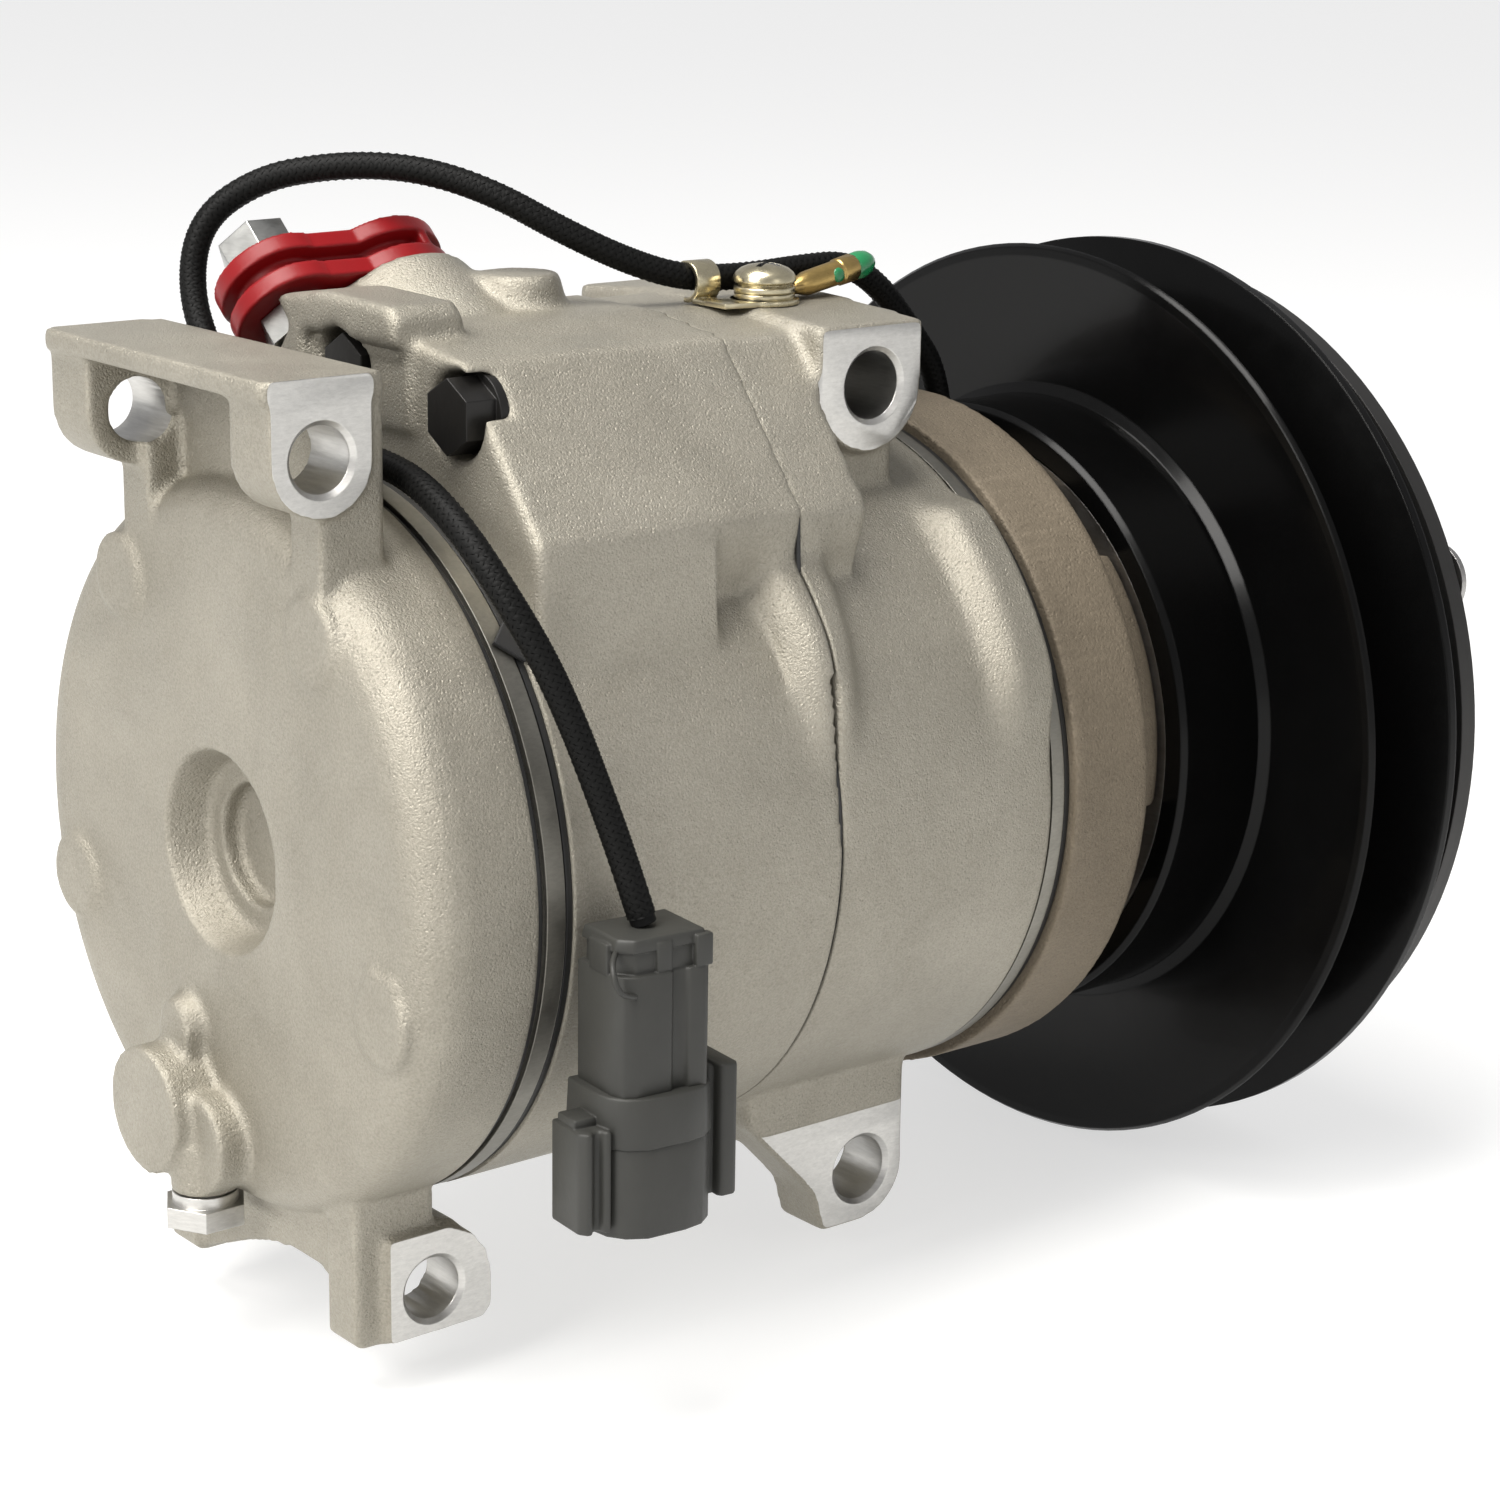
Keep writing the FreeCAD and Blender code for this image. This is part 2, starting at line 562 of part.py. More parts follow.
def block_seal():
    """Thin gasket between the two blocks."""
    start, end = "MiddleSeam - 0.3", "MiddleSeam + 0.3"
    outline = fused("block_seal_outline", [
        rod("block_seal_disc", "x", start, end, "BodyRadius - 0.4"), saddle("block_seal_top", start, end, 1.1)])
    tools = inner_tools("block_seal", start, end, "MiddleSeam - 1", "MiddleSeam + 1",
                        "MiddleSeam - 1", "MiddleSeam + 1")
    for side, y, z in SADDLE_BOLTS:
        tools.append(rod("block_seal_screw_" + side, "x", "MiddleSeam - 1", "MiddleSeam + 1", "3.3", y=y, z=z))
    node("block_seal", carved("block_seal", outline, tools))


# ---------------------------------------------------------------- front housing

def front_housing():
    """Front cover: shoulder, nose with five bolt pockets, and the neck that carries the pulley bearing."""
    outer = turned("front_shell", [
        ("FrontSeamFront", "9.5"), ("-31", "9.5"), ("-31", "14"), ("12.6", "14"), ("12.6", "BearingBore"),
        ("CoilFloor", "BearingBore"), ("CoilFloor", "NoseRadius - 1"), ("CoilFloor - 1", "NoseRadius"),
        ("Shoulder + 2.5", "NoseRadius + 0.6"), ("Shoulder + 2.5", "HousingRadius - 3.2"),
        ("Shoulder + 0.4", "HousingRadius"), ("FrontSeamFront", "HousingRadius")])
    tools = [
        washer("front_suction_chamber", "FrontSeamFront - 1", "FrontSeamFront + 8", "19", "27"),
        washer("front_discharge_chamber", "FrontSeamFront - 1", "FrontSeamFront + 8", "30", "38"),
        washer("bearing_ring_groove", "BearingFront + 0.1", "BearingFront + 1.6", "BearingBore - 0.8", "25"),
        washer("coil_ring_groove", "CoilFloor + 2", "CoilFloor + 3.4", "BearingBore - 0.8", "25"),
        washer("seal_ring_groove", "1", "2.4", "13", "15"),
        block("lead_notch", ("CoilFloor - 9", "CoilFloor + 1"), ("0", "8"), ("40", "60")),
    ] + stack_holes("front_housing", "FrontSeamFront - 1", "Shoulder + 3")[:CYLINDERS]
    for number, angle in enumerate(BOLT_ANGLES, start=1):
        y, z = polar("BoltCircle + 1", angle)
        tools.append(rod("bolt_pocket_%d" % number, "x", "Shoulder - 2", "CoilFloor + 1", "7.2", y=y, z=z))
    for number, angle in enumerate(DOWEL_ANGLES, start=1):
        y, z = polar("DowelCircle", angle)
        tools.append(rod("front_dowel_%d" % number, "x", "FrontSeamFront - 1", "FrontSeamFront + 3",
                         "DowelRadius", y=y, z=z))
    node("front_housing", carved("front_housing", outer, tools))


# ---------------------------------------------------------------- fasteners and dowels

def through_bolts():
    bolts = []
    for number, angle in enumerate(BOLT_ANGLES, start=1):
        y, z = polar("BoltCircle", angle)
        bolts.append(fused("through_bolt_%d" % number, [
            rod("bolt_shank_%d" % number, "x", "RearSeamBack - 9", "Shoulder - 1.5", "BoltRadius - 0.05", y=y, z=z),
            rod("bolt_collar_%d" % number, "x", "Shoulder - 2", "Shoulder - 0.8", "6.2", y=y, z=z),
            hexagon("bolt_head_%d" % number, "x", "Shoulder - 1", "Shoulder + 4.5", "5.7", y=y, z=z)]))
    node("through_bolts", group("through_bolts", bolts))


def saddle_screws():
    screws = []
    for side, y, z in SADDLE_BOLTS:
        screws.append(fused("saddle_screw_" + side, [
            rod("screw_shank_" + side, "x", "SaddleRear + 4", "-87.5", "BoltRadius - 0.05", y=y, z=z),
            rod("screw_flange_" + side, "x", "SaddleRear + 3.6", "SaddleRear + 5", "5.9", y=y, z=z),
            hexagon("screw_head_" + side, "x", "SaddleRear - 1.4", "SaddleRear + 4", "5.4", y=y, z=z)]))
    node("saddle_screws", group("saddle_screws", screws))


def dowel_pins():
    pins = []
    for end, start, stop in (("rear", "RearSeamBack - 2.8", "RearSeamFront + 3"),
                             ("front", "FrontSeamBack - 3", "FrontSeamFront + 2.8")):
        for number, angle in enumerate(DOWEL_ANGLES, start=1):
            y, z = polar("DowelCircle", angle)
            pins.append(rod("%s_pin_%d" % (end, number), "x", start, stop, "DowelRadius - 0.02", y=y, z=z))
    node("dowel_pins", group("dowel_pins", pins))


def relief_valve():
    """Pressure relief valve screwed up into its boss."""
    node("relief_valve", fused("relief_valve", [
        rod("relief_thread", "z", "-51.6", "-42", "3.9", x="ValveX", y="ValveY"),
        rod("relief_collar", "z", "-53.4", "-51.5", "4.8", x="ValveX", y="ValveY"),
        hexagon("relief_hex", "z", "-56.3", "-53.2", "6.4", x="ValveX", y="ValveY")]))


# ---------------------------------------------------------------- port cap

# the port stands on the saddle's far slope, and the cap's bolt is behind it
PORT_ORIGIN = Vector(-140.4, 21.9, 71.7)
PORT_NORMAL = Vector(-0.02, 0.75, 0.661).normalize()
PORT_REACH = measure("PortReach")


def port_rotation():
    return Rotation(Vector(1, 0, 0), Vector(), PORT_NORMAL, "ZXY")


def port_point(along, across, up):
    """A point in the port plate's own frame."""
    return PORT_ORIGIN + port_rotation().multVec(Vector(along, across, up))


def capped(piece, along, across, up):
    """Sets a primitive that stands on +Z into the port plate's frame."""
    return put(piece, Placement(port_point(along, across, up), port_rotation()))


def port_cap():
    """Plastic transport cap: two bone-shaped flanges round a thinner core, a plug and a hole for its bolt."""
    layers = []
    for layer, low, high, shrink in (("lower", 0, 2.9, 0), ("core", 2.7, 5.7, 2.6), ("upper", 5.5, 8.4, 0)):
        bottom, top = "0", "%g" % (high - low)
        layers.append(capped(rod("cap_tail_" + layer, "z", bottom, top, "9 - %g" % shrink), 0, 0, low))
        layers.append(capped(rod("cap_head_" + layer, "z", bottom, top, "10.8 - %g" % shrink),
                             PORT_REACH, 0, low))
        bar = block("cap_waist_" + layer, ("0", "PortReach"), ("0", "17 - %g" % (2 * shrink)), ("0", top))
        layers.append(capped(bar, 0, -8.5 + shrink, low))
    layers.append(capped(block("cap_rib", ("0", "1.3"), ("0", "6"), ("0", "3")), 20.5, -9.9, 2.7))
    layers.append(capped(rod("cap_plug", "z", "0", "6", "5.8"), PORT_REACH, 0, -6))
    hole = capped(rod("cap_hole", "z", "0", "14", "3.2"), 0, 0, -2)
    node("port_cap", carved("port_cap", fused("port_cap_solid", layers), [hole]))
    node("port_cap_bolt", fused("port_cap_bolt", [
        capped(rod("cap_bolt_shank", "z", "0", "18", "3"), 0, 0, -6),
        capped(hexagon("cap_bolt_head", "z", "0", "5.4", "5.8"), 0, 0, 9.2),
        capped(rod("cap_bolt_flange", "z", "0", "0.9", "6.4"), 0, 0, 8.45)]))
    blank = capped(hexagon("cap_nut_blank", "z", "0", "4.6", "5.8"), 0, 0, -4.7)
    node("port_cap_nut", carved("port_cap_nut", blank, [
        capped(rod("cap_nut_thread", "z", "0", "8", "3"), 0, 0, -6)]))


# ---------------------------------------------------------------- shaft and swash plate

def shaft_parts():
    node("drive_shaft", turned("drive_shaft", [
        ("-141.5", "0"), ("-141.5", "ShaftRadius - 0.6"), ("-140.9", "ShaftRadius"), ("-113", "ShaftRadius"),
        ("-113", "9.5"), ("-87.5", "9.5"), ("-87.5", "ShaftRadius"), ("12", "ShaftRadius"), ("12", "7"),
        ("25", "7"), ("25", "3"), ("9", "3"), ("9", "0")]))
    disc = rod("swash_disc", "z", "0", "SwashThickness", "SwashRadius")
    tilt = math.radians(measure("SwashAngle"))
    normal = Vector(math.cos(tilt), 0, math.sin(tilt))
    middle = Vector(measure("SwashCentre"), 0, 0)
    put(disc, Placement(middle - normal * (measure("SwashThickness") / 2), Rotation(Vector(0, 0, 1), normal)))
    hub = rod("swash_hub", "x", "SwashCentre - 14", "SwashCentre + 14", "15")
    bore = turned("swash_bore", [
        ("SwashCentre - 15", "0"), ("SwashCentre - 15", "ShaftRadius"), ("-113", "ShaftRadius"), ("-113", "9.5"),
        ("-87.5", "9.5"), ("-87.5", "ShaftRadius"), ("SwashCentre + 15", "ShaftRadius"),
        ("SwashCentre + 15", "0")])
    node("swash_plate", carved("swash_plate", fused("swash_blank", [disc, hub]), [bore]))


def pistons():
    """Double-headed pistons, each with a notch that straddles the swash plate."""
    for number, angle in enumerate(BORE_ANGLES, start=1):
        y, z = polar("BoreCircle", angle)
        blank = rod("piston_blank_%d" % number, "x", "SwashCentre - PistonHalf", "SwashCentre + PistonHalf",
                    "BoreRadius - PistonClearance", y=y, z=z)
        notch = rod("piston_notch_%d" % number, "x", "SwashCentre - NotchHalf", "SwashCentre + NotchHalf",
                    "ChamberRadius + 0.4")
        node("piston_%d" % number, carved("piston_%d" % number, blank, [notch]))


def roller_set(name, start, end, circle, radius, count):
    rollers = []
    for number in range(count):
        y, z = polar(circle, 360 * number / count)
        rollers.append(rod("%s_%d" % (name, number + 1), "x", start, end, radius, y=y, z=z))
    return rollers


def shaft_bearings():
    ends = (("rear", "RearSeamFront + 1.5", "RearSeamFront + 19.5"),
            ("front", "FrontSeamBack - 19.5", "FrontSeamBack - 1.5"))
    cups = []
    rollers = []
    for end, start, stop in ends:
        cups.append(turned(end + "_bearing_cup", [
            (start, "ShaftRadius + 0.3"), ("%s + 1" % start, "ShaftRadius + 0.3"), ("%s + 1" % start, "10.55"),
            ("%s - 1" % stop, "10.55"), ("%s - 1" % stop, "ShaftRadius + 0.3"), (stop, "ShaftRadius + 0.3"),
            (stop, "CupRadius"), (start, "CupRadius")]))
        rollers += roller_set(end + "_roller", "%s + 1.3" % start, "%s - 1.3" % stop, "ShaftRadius + 1.28", "1.24", 14)
    node("shaft_bearing_cups", group("shaft_bearing_cups", cups))
    node("shaft_bearing_rollers", group("shaft_bearing_rollers", rollers))
    fixed = []
    turning = []
    needles = []
    for side, way in (("rear", "-"), ("front", "+")):
        outer = sorted(("SwashCentre %s 18.5" % way, "SwashCentre %s 17.5" % way), key=measure)
        inner = sorted(("SwashCentre %s 14" % way, "SwashCentre %s 15" % way), key=measure)
        fixed.append(washer(side + "_fixed_race", outer[0], outer[1], "10.2", "16.5"))
        turning.append(washer(side + "_turning_race", inner[0], inner[1], "10.2", "16.5"))
        for number in range(16):
            needle = doc.addObject("Part::Cylinder", "%s_thrust_needle_%d" % (side, number + 1))
            bind(needle, Radius="1.22", Height="5")
            turn = 360 * number / 16
            outward = Vector(0, math.cos(math.radians(turn)), math.sin(math.radians(turn)))
            middle = measure("SwashCentre %s 16.25" % way)
            needle.Placement = Placement(Vector(middle, 0, 0) + outward * 10.9, Rotation(Vector(0, 0, 1), outward))
            needles.append(needle)
    node("thrust_races_fixed", group("thrust_races_fixed", fixed))
    node("thrust_races_turning", group("thrust_races_turning", turning))
    node("thrust_needles", group("thrust_needles", needles))


def shaft_seal_parts():
    node("shaft_seal", turned("shaft_seal", [
        ("-9", "ShaftRadius + 0.03"), ("-6", "ShaftRadius + 0.03"), ("-5", "10"), ("0.8", "10"), ("0.8", "14"),
        ("-10", "14"), ("-10", "10")]))
    node("seal_snap_ring", washer("seal_snap_ring", "1.05", "2.3", "11.5", "14.9"))


# ---------------------------------------------------------------- field coil

def field_coil():
    node("field_coil_shell", turned("field_coil_shell", [
        ("CoilFloor", "BearingBore + 0.05"), ("CoilFloor", "CoilOuter"), ("CoilFront", "CoilOuter"),
        ("CoilFront", "CoilOuter - CoilWall"), ("CoilFloor + 4", "CoilOuter - CoilWall"),
        ("CoilFloor + 4", "CoilInner + CoilWall"), ("CoilFront", "CoilInner + CoilWall"),
        ("CoilFront", "CoilInner"), ("CoilFloor + 1.9", "CoilInner"),
        ("CoilFloor + 1.9", "BearingBore + 0.05")]))
    node("field_coil_winding", washer("field_coil_winding", "CoilFloor + 4", "CoilFront - 0.6",
                                      "CoilInner + CoilWall", "CoilOuter - CoilWall"))
    node("coil_snap_ring", washer("coil_snap_ring", "CoilFloor + 2", "CoilFloor + 3.3",
                                  "BearingBore - 0.7", "24"))
    node("coil_lead_grommet", block("coil_lead_grommet", ("CoilFloor - 8", "CoilFloor - 1"), ("0.6", "7.4"),
                                    ("41", "48.5")))


# ---------------------------------------------------------------- pulley and its bearing

def pulley_parts():
    rise = "(PulleyRadius - GrooveFloorRadius) * tan(GrooveAngle)"
    inner_wall = "BearingOuter + 1.9"
    node("pulley", turned("pulley", [
        ("BearingRear - 3", "BearingOuter"), ("BearingRear - 3", inner_wall),
        ("FrictionFace - FluxWall", inner_wall), ("FrictionFace - FluxWall", "RotorBore"),
        ("RotorRear", "RotorBore"), ("RotorRear", "RotorRadius - 0.8"), ("RotorRear + 0.8", "RotorRadius"),
        ("-8", "RotorRadius"), ("-6.9", "RotorRadius + 1.7"), ("-GrooveHalfWidth - 0.9", "PulleyRadius - 2"),
        ("-GrooveHalfWidth - 0.8", "PulleyRadius - 0.6"), ("-GrooveHalfWidth", "PulleyRadius"),
        ("-GrooveHalfWidth + " + rise, "GrooveFloorRadius"), ("GrooveHalfWidth - " + rise, "GrooveFloorRadius"),
        ("GrooveHalfWidth", "PulleyRadius"), ("GrooveHalfWidth + RimLand - 0.5", "PulleyRadius"),
        ("GrooveHalfWidth + RimLand", "PulleyRadius - 0.6"), ("GrooveHalfWidth + RimLand", "FaceRadius"),
        ("FrictionFace - 0.6", "FaceRadius"), ("FrictionFace", "FaceRadius - 0.6"), ("FrictionFace", "29"),
        ("BearingFront", "29"), ("BearingFront", "BearingOuter")]))
    rows = ("(BearingRear + BearingFront) / 2 - 5.5", "(BearingRear + BearingFront) / 2 + 5.5")
    balls = []
    grooves = []
    for row, middle in enumerate(rows, start=1):
        torus = doc.addObject("Part::Torus", "race_groove_%d" % row)
        torus.Placement = Placement(Vector(), ALONG["x"])
        bind(torus, Radius1="25.5", Radius2="BearingBallRadius + 0.04", Placement_Base_x=middle)
        grooves.append(torus)
        for number in range(18):
            ball = doc.addObject("Part::Sphere", "ball_%d_%d" % (row, number + 1))
            y, z = polar("25.5", 20 * number)
            bind(ball, Radius="BearingBallRadius", Placement_Base_x=middle, Placement_Base_y=y, Placement_Base_z=z)
            balls.append(ball)
    for race, inner, outer in (("inner", "BearingBore", "23.9"), ("outer", "27.1", "BearingOuter")):
        ring = washer("bearing_%s_ring" % race, "BearingRear", "BearingFront", inner, outer)
        node("bearing_%s_race" % race, carved("bearing_%s_race" % race, ring, grooves))
    node("bearing_balls", group("bearing_balls", balls))
    node("bearing_shields", group("bearing_shields", [
        washer("rear_shield", "BearingRear + 0.4", "BearingRear + 1.4", "24.1", "27.1"),
        washer("front_shield", "BearingFront - 1.4", "BearingFront - 0.4", "24.1", "27.1")]))
    node("bearing_snap_ring", washer("bearing_snap_ring", "BearingFront + 0.15", "BearingFront + 1.5",
                                     "BearingBore - 0.7", "22.6"))


# ---------------------------------------------------------------- armature and hub

SPRING_SWEEP = 42
RIM_ANGLES = (156, 276, 36)


def armature():
    """Armature plate with three leaf springs riveted near its rim."""
    back = "FrictionFace + AirGap"
    front = "FrictionFace + AirGap + ArmatureThickness"
    plate_blank = turned("armature_blank", [
        (back, "ArmatureBore"), (front, "ArmatureBore"), (front, "ArmatureRadius - 0.6"),
        ("%s - 0.6" % front, "ArmatureRadius"), (back, "ArmatureRadius")])
    slots = []
    ring = washer("flux_slot_ring", "%s - 1" % back, "%s + 1" % front, "49", "51")
    for number in range(3):
        angles = (30 + 120 * number - 42, 30 + 120 * number, 30 + 120 * number + 42)
        wedge = plate("flux_slot_wedge_%d" % number, "x", [("0", "0")] + [
            ("%g" % (90 * math.cos(math.radians(angle))), "%g" % (90 * math.sin(math.radians(angle))))
            for angle in angles], "%s - 1" % back, "%s + 1" % front)
        slots.append(common("flux_slot_%d" % number, [ring, wedge]))
    holes = []
    rivets = []
    springs = []
    for number, angle in enumerate(RIM_ANGLES, start=1):
        y, z = polar("RimRivetRadius", angle)
        holes.append(rod("rim_hole_%d" % number, "x", "%s - 1" % back, "%s + 1" % front, "2.5", y=y, z=z))
        rivets.append(fused("rim_rivet_%d" % number, [
            rod("rim_shank_%d" % number, "x", "%s + 0.6" % back, "%s + SpringThickness" % front, "2.5", y=y, z=z),
            rod("rim_head_%d" % number, "x", "%s + SpringThickness" % front, "%s + SpringThickness + 1.6" % front,
                "4.4", y=y, z=z)]))
        outer = Vector(0, measure(y), measure(z))
        hub_y, hub_z = polar("ArmRadius", angle + SPRING_SWEEP)
        inner = Vector(0, measure(hub_y), measure(hub_z))
        strap = block("strap_%d" % number, ("0", "SpringThickness"), ("0", "%g" % (outer - inner).Length),
                      ("-6", "6"))
        level = Vector(measure(front), 0, 0)
        put(strap, Placement(inner + level, Rotation(Vector(0, 1, 0), outer - inner)) * Placement(
            Vector(0, 0, -6), Rotation()))
        leaf = fused("leaf_%d" % number, [
            strap,
            rod("leaf_rim_end_%d" % number, "x", front, "%s + SpringThickness" % front, "6", y=y, z=z),
            rod("leaf_hub_end_%d" % number, "x", front, "%s + SpringThickness" % front, "6", y=hub_y, z=hub_z)])
        springs.append(carved("leaf_spring_%d" % number, leaf, [
            rod("leaf_rim_hole_%d" % number, "x", "%s - 1" % front, "%s + 3" % front, "2.5", y=y, z=z),
            rod("leaf_hub_hole_%d" % number, "x", "%s - 1" % front, "%s + 3" % front, "3.2", y=hub_y, z=hub_z)]))
    node("armature_plate", carved("armature_plate", plate_blank, slots + holes))
    node("armature_rivets", group("armature_rivets", rivets))
    node("leaf_springs", group("leaf_springs", springs))


def clutch_hub():
    """Splined hub with three arms, its rivets, the air-gap shims, and the centre bolt."""
    rear = "HubPlateFront - 2.6"
    solids = [rod("hub_sleeve", "x", "12.7", "HubPlateFront", "13"),
              rod("hub_disc", "x", rear, "HubPlateFront", "24")]
    tools = [rod("hub_bore", "x", "12", "27", "7")]
    rivets = []
    for number, angle in enumerate(RIM_ANGLES, start=1):
        arm_angle = angle + SPRING_SWEEP
        y, z = polar("ArmRadius", arm_angle)
        arm = block("hub_arm_%d" % number, ("0", "2.6"), ("0", "ArmRadius"), ("-9", "9"))
        outward = Vector(0, math.cos(math.radians(arm_angle)), math.sin(math.radians(arm_angle)))
        put(arm, Placement(Vector(measure(rear), 0, 0), Rotation(Vector(0, 1, 0), outward)) * Placement(
            Vector(0, 0, -9), Rotation()))
        solids.append(arm)
        solids.append(rod("hub_arm_end_%d" % number, "x", rear, "HubPlateFront", "9", y=y, z=z))
        tools.append(rod("hub_rivet_hole_%d" % number, "x", "20", "27", "2.5", y=y, z=z))
        rivets.append(fused("hub_rivet_%d" % number, [
            rod("hub_rivet_shank_%d" % number, "x", "HubPlateFront - 3.8", "HubPlateFront", "2.5", y=y, z=z),
            rod("hub_rivet_head_%d" % number, "x", "HubPlateFront", "HubPlateFront + 1.8", "4.4", y=y, z=z)]))
    node("clutch_hub", carved("clutch_hub", fused("hub_blank", solids), tools))
    node("hub_rivets", group("hub_rivets", rivets))
    node("hub_shims", group("hub_shims", [
        washer("hub_shim_1", "12", "12.35", "7", "9.5"), washer("hub_shim_2", "12.35", "12.7", "7", "9.5")]))
    node("hub_bolt", fused("hub_bolt", [
        rod("hub_bolt_shank", "x", "11", "HubPlateFront", "2.95"),
        rod("hub_bolt_flange", "x", "HubPlateFront", "HubPlateFront + 1.6", "10"),
        hexagon("hub_bolt_head", "x", "HubPlateFront + 1.6", "HubPlateFront + 7", "6.9")]))


# ---------------------------------------------------------------- clip, terminal and screw

def clip_parts():
    """Cable clip, ground terminal and their screw on the front top ear."""
    plate_end = rod("clip_pad", "z", "ClipSeat", "ClipSeat + 0.9", "5.2", x="ClipX", y="ClipY")
    strip = block("clip_strip", ("ClipX - 11", "ClipX"), ("ClipY - 3.5", "ClipY + 3.5"),
                  ("ClipSeat", "ClipSeat + 0.9"))
    wing = block("clip_wing", ("ClipX - 11", "ClipX - 4.8"), ("ClipY", "ClipY + 7"), ("ClipSeat", "ClipSeat + 0.9"))
    loop = rod("clip_loop", "x", "ClipX - 11", "ClipX - 4.8", "3.1", y="ClipY + 7", z="ClipSeat + 3.1")
    tools = [rod("clip_hole", "z", "ClipSeat - 1", "ClipSeat + 2", "2.6", x="ClipX", y="ClipY"),
             rod("clip_loop_hole", "x", "ClipX - 12", "ClipX - 4", "2.3", y="ClipY + 7", z="ClipSeat + 3.1")]
    node("harness_clip", carved("harness_clip", fused("clip_blank", [plate_end, strip, wing, loop]), tools))
    ring = rod("terminal_ring", "z", "ClipSeat + 0.9", "ClipSeat + 1.7", "4.6", x="ClipX", y="ClipY")
    tail = block("terminal_tail", ("ClipX + 2.7", "ClipX + 8.5"), ("ClipY - 1.6", "ClipY + 1.6"),
                 ("ClipSeat + 0.9", "ClipSeat + 1.7"))
    barrel = rod("terminal_barrel", "z", "0", "11", "1.9")
    start = Vector(measure("ClipX + 7.6"), measure("ClipY"), measure("ClipSeat + 2.3"))
    lean = Vector(1, 0.12, 0.16)
    put(barrel, Placement(start, Rotation(Vector(0, 0, 1), lean)))
    hole = rod("terminal_hole", "z", "ClipSeat", "ClipSeat + 3", "2.6", x="ClipX", y="ClipY")
    node("ground_terminal", carved("ground_terminal", fused("terminal_blank", [ring, tail, barrel]), [hole]))
    bead = rod("bead_body", "z", "0", "3.4", "2.1")
    bead_start = start + lean.normalize() * 11
    put(bead, Placement(bead_start, Rotation(Vector(0, 0, 1), lean)))
    tip = doc.addObject("Part::Sphere", "bead_tip")
    tip.Radius = 2.1
    tip.Placement.Base = bead_start + lean * 3.4
    node("terminal_bead", common("terminal_bead", [
        fused("bead_blank", [bead, tip]),
        block("bead_bounds", ("ClipX", "ClipX + 40"), ("ClipY - 9", "ClipY + 9"), ("ClipSeat", "ClipSeat + 12"))]))
    split = washer_on("clip_washer", "ClipSeat + 1.7", "ClipSeat + 2.8", "2.6", "4.3")
    node("clip_washer", split)
    node("clip_screw", fused("clip_screw", [
        rod("clip_screw_shank", "z", "ClipSeat - 4", "ClipSeat + 3", "2.45", x="ClipX", y="ClipY"),
        cone("clip_screw_head", "z", "ClipSeat + 2.8", "ClipSeat + 5.6", "4.7", "3.4", x="ClipX", y="ClipY")]))


def washer_on(name, low, high, inner, outer):
    """A flat ring on the clip screw."""
    return carved(name, rod(name + "_disc", "z", low, high, outer, x="ClipX", y="ClipY"),
                  [rod(name + "_hole", "z", "(%s) - 1" % low, "(%s) + 1" % high, inner, x="ClipX", y="ClipY")])


# ---------------------------------------------------------------- cable and connector

CABLE = [
    (-28.5, 4, 48.5), (-30, 3.6, 56.5), (-37, 2.5, 64), (-45, 0.6, 71.5), (-54.5, -2, 76.4), (-65, -3.2, 76.5),
    (-76.5, -3.4, 75.9), (-88, -3.1, 76.4), (-97.5, -1, 79.6), (-106.5, 2.8, 84.3), (-113.4, 8, 89),
    (-119.3, 14.5, 91.9), (-125, 20.5, 93), (-131.3, 27, 92.6), (-138.4, 34, 90.6), (-145.3, 39.5, 84.6),
    (-148, 39, 75), (-149, 32, 65.6), (-149.4, 21.5, 59.4), (-150, 11, 57.2), (-150.6, 0, 57), (-150.9, -10.5, 57.2),
    (-151.5, -21.5, 57), (-153.2, -32.5, 55.5), (-154, -42, 51.5), (-152.6, -49, 44.5), (-149.2, -53, 36),
    (-146, -55.3, 27), (-143.2, -57.2, 17.8), (-140.8, -59.3, 8.8), (-138.8, -61.3, 0),
]


def tube_along(points, radius):
    """A round tube along straight runs joined by tangent arcs, and its length and arc radii."""
    edges = []
    radii = []
    start = points[0]
    for before, corner, after in zip(points, points[1:], points[2:]):
        arriving = (corner - before).normalize()
        leaving = (after - corner).normalize()
        half = arriving.getAngle(leaving) / 2
        setback = 0.45 * min((corner - before).Length, (after - corner).Length)
        bend = setback / math.tan(half)
        first = corner - arriving * setback
        last = corner + leaving * setback
        inward = (leaving - arriving).normalize()
        middle = corner + inward * (bend / math.cos(half) - bend)
        edges.append(Part.LineSegment(start, first).toShape())
        edges.append(Part.Arc(first, middle, last).toShape())
        radii.append(bend)
        start = last
    edges.append(Part.LineSegment(start, points[-1]).toShape())
    path = Part.Wire(edges)
    ring = Part.Wire([Part.Circle(points[0], points[1] - points[0], radius).toShape()])
    return path.makePipeShell([ring], True, False), path.Length, radii


def harness():
    """The clutch coil's lead in its braided sleeve, from the coil to the connector."""
    radius = measure("CableRadius")
    shape, length, radii = tube_along([Vector(*point) for point in CABLE], radius)
    tube = doc.addObject("Part::Feature", "harness")
    tube.Shape = shape
    tube.Placement = Placement()
    section = math.pi * radius ** 2
    print("harness: length %.1f, smallest arc %.1f, volume against section times length %.4f" %
          (length, min(radii), shape.Volume / (section * length)))
    print("harness arcs:", " ".join("%.0f" % value for value in radii))
    node("harness", tube)


